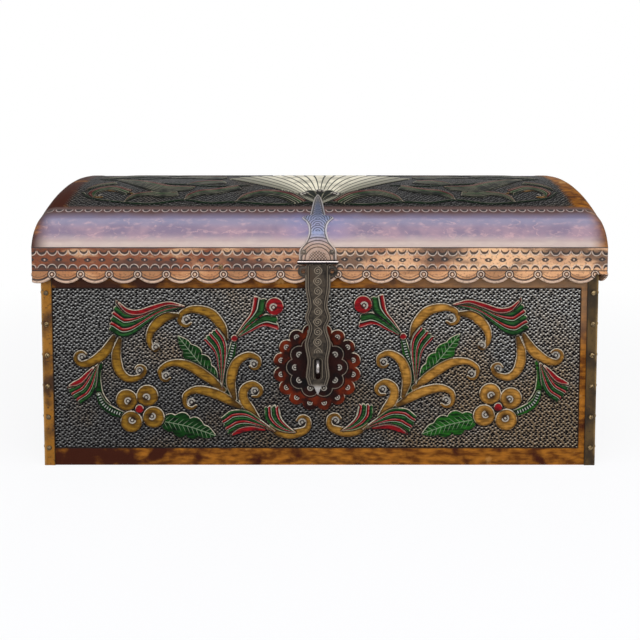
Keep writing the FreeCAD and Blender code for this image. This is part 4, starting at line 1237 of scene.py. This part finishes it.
def strap_engraving(wire):
    """Raised borders along the sides, and spirals on a sine: r less the turn, folded by its pitch."""
    pitch = 13.5
    across, down, from_side = wire.place("engraving").parts()
    flip = wire.math("SIGN", down.folded(2 * pitch, 4.5))
    cell = down.folded(pitch, 11.25)
    radius = across.radius(cell)
    turn = wire.math("ARCTAN2", cell * flip, across * flip) / (2 * math.pi)
    spiral = (radius - turn * 2.9).lines(2.9, 0.4)
    wave = abs(across - wire.math("SINE", (down - 4.5) * (math.pi / pitch)) * 5.4).rise(0.9, 0.4)
    row = down.rise(4.0, 5.0) * down.rise(121.0, 119.5)
    borders = abs(from_side - 1.2).rise(1.3, 0.7) | abs(from_side - 4.2).rise(0.9, 0.4)
    groove = abs(from_side - 2.8).rise(0.8, 0.4) | abs(from_side - 5.6).rise(0.8, 0.4)
    tip = down.rise(160.0, 168.0)
    shine = tip.mix((136, 124, 106), (158, 154, 148))
    links = (spiral * radius.rise(5.4, 4.8) | wave) * row
    return groove * (1 - tip) * 0.7, links * 0.7 | borders * 0.4 | tip, shine


def barrel_shade(wire):
    """A barrel with a painted highlight along its top and painted shade along its underside."""
    height = wire.spot().parts()[2]
    dirt_and_shade = height.rise(0.2769, 0.2762) | height.rise(0.2781, 0.2787)
    return dirt_and_shade, height.rise(0.2768, 0.2774), (216, 204, 194)


bright_steel = metal_finish("bright_steel", (112, 104, 98), (184, 178, 172), (126, 96, 74), 0.2)
barrel_steel = metal_finish("barrel_steel", (112, 104, 98), (160, 154, 148), (126, 96, 74), 0.16,
                            barrel_shade)
plate_steel = metal_finish("engraved_steel", (74, 68, 66), (132, 126, 124), (124, 96, 78), 0.3,
                           plate_engraving)
forged_iron = metal_finish("forged_iron", (34, 30, 26), (76, 69, 60), (58, 44, 32), 0.42)
rubbed_iron = metal_finish("rubbed_iron", (72, 64, 56), (128, 116, 102), (96, 76, 58), 0.36)
strap_iron = metal_finish("chased_iron", (30, 26, 22), (66, 58, 48), (56, 42, 30), 0.4,
                          strap_engraving)

# %% Hasp plate
hasp_x, pin_y, pin_z = -2.5, -208.0, 276.5
plate_heights = [0.0, 2.7, 15.0, 18.0, 21.5, 26.1, 31.5, 37.0, 42.4, 47.8, 51.9,
                 54.6, 56.3, 57.5, 58.6, 59.7, 64.0, 69.5, 76.0, 81.0, 85.0]
plate_halves = [24.3, 24.6, 24.6, 23.2, 20.2, 16.2, 13.6, 12.0, 11.7, 12.8, 15.4,
                19.0, 21.4, 20.2, 17.4, 10.6, 9.2, 8.0, 6.4, 4.4, 1.0]
plate_foot, plate_tip, plate_thick = -16.4, 101.4, 1.5
plate_arc = np.linspace(plate_foot, plate_tip, 190)
place, normal = over_dome(np.maximum(plate_arc, 0.0))
place[:, 1] += np.minimum(plate_arc, 0.0)
plate_half = np.interp(place[:, 1] - pin_z, plate_heights, plate_halves)
share = np.linspace(-1.0, 1.0, 61)
across = plate_half[:, None] * share
from_side = plate_half[:, None] * (1 - np.abs(share))
plate_up = plate_arc[:, None] + 19.5 + 0 * across
crown = plate_thick - 0.9 * step(from_side, 1.4, 0.0)
plate_front = at(hasp_x + across, place[:, None] + crown[..., None] * normal[:, None])
plate_back = at(hasp_x + across[:, [-1, 0]], place[:, None] + np.zeros((1, 2, 1)))
plate_values = {"engraving": with_back(np.stack([across, plate_up, from_side], -1))}
dress(loft("engraved_hasp_plate", np.concatenate([plate_front, plate_back], 1), plate_values, crease=50),
      "lid", "bright_steel", plate_steel, "hasp_plate")

# %% Pin and nails
along_x = [(1.0, 0.0, 0.0)]
pin_end = [(0.1, 27.2), (2.0, 27.0), (2.7, 26.2), (2.7, 25.2), (2.9, 25.0), (2.9, 11.6), (2.1, 11.4)]
pin_profile = [(radius, -height) for radius, height in pin_end] + pin_end[::-1]
dress(loft("hasp_barrel", turned([(hasp_x, pin_y, pin_z)], along_x, pin_profile, 24), crease=30),
      "lid", "bright_steel", barrel_steel, "hasp_pin")
nail_head = [(0.9, -10.0), (1.2, -0.2), (3.5, -0.2), (3.5, 0.5), (2.8, 0.9), (2.4, 0.6), (1.7, 1.4),
             (0.8, 1.8), (0.1, 1.85)]
nail_x, nail_y, nail_up = 18.4, dome_front_y - plate_thick, 13.2
nail_places = [(hasp_x + side * nail_x, nail_y, pin_z + nail_up) for side in (-1, 1)]
dress(loft("hasp_plate_nail_heads", turned(nail_places, [(0, -1, 0)] * 2, nail_head, 18)),
      "lid", "bright_steel", rubbed_iron, "hasp_plate_nails")

# %% Hasp strap
strap_drops = np.array([2.6, 3.2, 4.8, 30.0, 58.3, 73.0, 86.2, 108.7, 131.3, 152.5, 163.5, 165.0, 175.6])
strap_halves = np.array([11.0, 11.0, 16.7, 16.7, 13.1, 17.0, 12.1, 17.3, 13.9, 15.9, 12.5, 5.2, 0.4])
slot_top, slot_foot, slot_width = 127.5, 155.6, 7.5
strap_back_y, strap_front_y = -206.75, -208.8
drop = np.linspace(strap_drops[0], strap_drops[-1], 260)
drop = np.unique(np.concatenate([drop, strap_drops, [slot_top, slot_foot]]))
span = np.clip(np.searchsorted(strap_drops, drop, "right") - 1, 0, len(strap_drops) - 2)
share = (drop - strap_drops[span]) / np.diff(strap_drops)[span]
eased = np.where((span > 2) & (span < 9), step(share, 0.0, 1.0), share)
strap_half = strap_halves[span] + eased * np.diff(strap_halves)[span]
from_slot_end = np.clip(np.minimum(drop - slot_top, slot_foot - drop), 0.0, slot_width / 2)
slot_half = np.sqrt(from_slot_end * (slot_width - from_slot_end))
share = np.linspace(0.0, 1.0, 26)
across = slot_half[:, None] + share * (strap_half - slot_half)[:, None]
from_side = np.minimum(strap_half[:, None] - across, strap_drops[-1] + 0.1 - drop[:, None])
from_slot = np.where(slot_half[:, None] > 0, across - slot_half[:, None], 9.0)
swell = 0.5 * step(from_side, 0.0, 1.4) - 0.35 * step(from_side, 5.0, 6.2) - 0.5 * step(from_slot, 1.2, 0.0)
strap_front = np.stack([across, strap_front_y - swell, pin_z - drop[:, None] + 0 * across], -1)
strap_back = strap_front[:, [-1, 0]].copy()
strap_back[..., 1] = strap_back_y
strap_place = np.stack([across, drop[:, None] + 0 * across, np.minimum(from_side, from_slot + 2.0)], -1)
half_rings = np.concatenate([strap_front, strap_back], 1)
for side, label in sides:
    way = np.array([side, 1.0, 1.0])
    half = loft("strap_" + label + "_half", half_rings * way + np.array([hasp_x, 0.0, 0.0]),
                {"engraving": with_back(strap_place) * way})
    dress(half, "hasp", "forged_iron", strap_iron, "hasp_strap")

# %% Ears and knuckle of the strap
ear_profile = [(3.0, 0.0), (3.0, 2.2), (3.4, 2.8), (4.4, 3.0), (5.5, 2.7), (5.9, 2.2), (7.2, 2.1),
               (7.4, 1.6), (7.4, 0.0)]
ear_x, ear_drop = 18.9, 11.7
ear_places = [(hasp_x + side * ear_x, strap_back_y, pin_z - ear_drop) for side in (-1, 1)]
ears = loft("strap_ears", turned(ear_places, [(0, -1, 0)] * 2, ear_profile, 28), loop=True)
dress(ears, "hasp", "forged_iron", forged_iron, "hasp_strap")
knuckle_profile = [(2.4, -10.8), (2.7, -10.8), (2.9, -10.5), (2.9, 10.5), (2.7, 10.8), (2.4, 10.8)]
knuckle_rings = turned([(hasp_x, pin_y, pin_z)], along_x, knuckle_profile, 24)
knuckle = loft("strap_knuckle", knuckle_rings, loop=True, crease=30)
dress(knuckle, "hasp", "forged_iron", barrel_steel, "hasp_strap")

# %% Staple
leg_y = np.array([-177.0, -190.0, -204.0, -213.0])
bend = np.linspace(-math.pi / 2, math.pi / 2, 15)
middle_z, bend_y, half_gap, wire_radius = 138.5, -213.75, 6.0, 2.25
path_y = np.concatenate([leg_y, bend_y - half_gap * np.cos(bend), leg_y[::-1]])
path_z = middle_z + half_gap * np.concatenate([[-1] * 4, np.sin(bend), [1] * 4])
path = np.stack([path_y, path_z], -1)
run = np.gradient(path, axis=0)
run /= np.linalg.norm(run, axis=1)[:, None]
turn = np.arange(16) * 2 * math.pi / 16
side_way = np.stack([-run[:, 1], run[:, 0]], -1)
ring_yz = path[:, None] + wire_radius * np.cos(turn)[:, None] * side_way[:, None]
ring_x = hasp_x + wire_radius * np.sin(turn)
staple = loft("rounded_staple", at(ring_x, ring_yz))
dress(staple, "trunk_body", "bright_steel", bright_steel, "hasp_staple")

# %% [markdown]
# Wood, iron and the plain back.
# The boards, the staves and the hinges already have the right shape, so the CAD solids stay and
# only get a finish. Pine shows long grain along each board, with darker late wood and some dirt.

# %% Pine
def pine_finish(name, stretch):
    """Pine: rings of late wood drawn out along the board by the stretch, with fine fibres."""
    material, wire = new_finish(name)
    where = wire.spot()
    rings = wire.noise(where, 0.018, 3.0, stretch) * 9.0
    bands = abs(wire.math("FRACT", rings) - 0.5) * 2.0
    fibres = wire.noise(where, 0.0015, 3.0, stretch)
    dirt_and_shade = wire.noise(where, 0.12, 4.0)
    color = coats(
        bands.rise(0.1, 0.9).mix((176, 132, 84), (140, 92, 50)),
        (fibres.rise(0.4, 0.7) * 0.4, (104, 68, 38)),
        (dirt_and_shade.rise(0.5, 0.75) * 0.6, (84, 58, 36)))
    close_finish(wire, color, 0.6 + 0.2 * fibres, fibres * 0.7 + bands * 0.3, 0.0006,
                 {"Specular IOR Level": 0.3})
    return material


pine_long = pine_finish("pine_along_the_trunk", (0.06, 1.0, 1.0))
pine_cross = pine_finish("pine_across_the_trunk", (1.0, 0.06, 1.0))

# %% Plain leather
plain_leather, wire = new_finish("plain_back_leather")
where = wire.spot()
clouds = wire.noise(where, 0.08, 5.0)
grain = wire.noise(where, 0.0025, 4.0)
scuffs = wire.noise(where, 0.012, 4.0, (0.4, 1.0, 1.0))
hide_color = coats(
    clouds.rise(0.3, 0.7).mix((64, 38, 20), (122, 76, 38)),
    (scuffs.rise(0.62, 0.72) * 0.5, (160, 118, 76)))
close_finish(wire, hide_color, 0.38 + 0.25 * grain, grain * 0.7 + clouds * 0.3, 0.0007,
             {"Coat Weight": 0.1, "Coat Roughness": 0.3, "Specular IOR Level": 0.3})


# %% Finishes of the CAD solids that stay
def refinish(finish, names):
    """Puts a finish on CAD nodes, whose shapes stay as they are."""
    for name in names:
        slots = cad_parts[name].data.materials
        slots.clear()
        slots.append(finish)
    print(finish.name, "on", len(names), "nodes")


refinish(pine_long, ["bottom_board", "front_board", "back_board", "lid_front_rail", "lid_back_rail"]
         + ["lid_stave_%d" % number for number in range(1, 10)])
refinish(pine_cross, ["left_end_board", "right_end_board", "lid_left_end", "lid_right_end"])
refinish(plain_leather, ["back_leather", "back_band"])
refinish(forged_iron, ["hinge_body_leaf_left", "hinge_body_leaf_right", "hinge_lid_leaf_left",
                       "hinge_lid_leaf_right", "hinge_body_screws", "hinge_lid_screws", "hinge_pin_left",
                       "hinge_pin_right"])
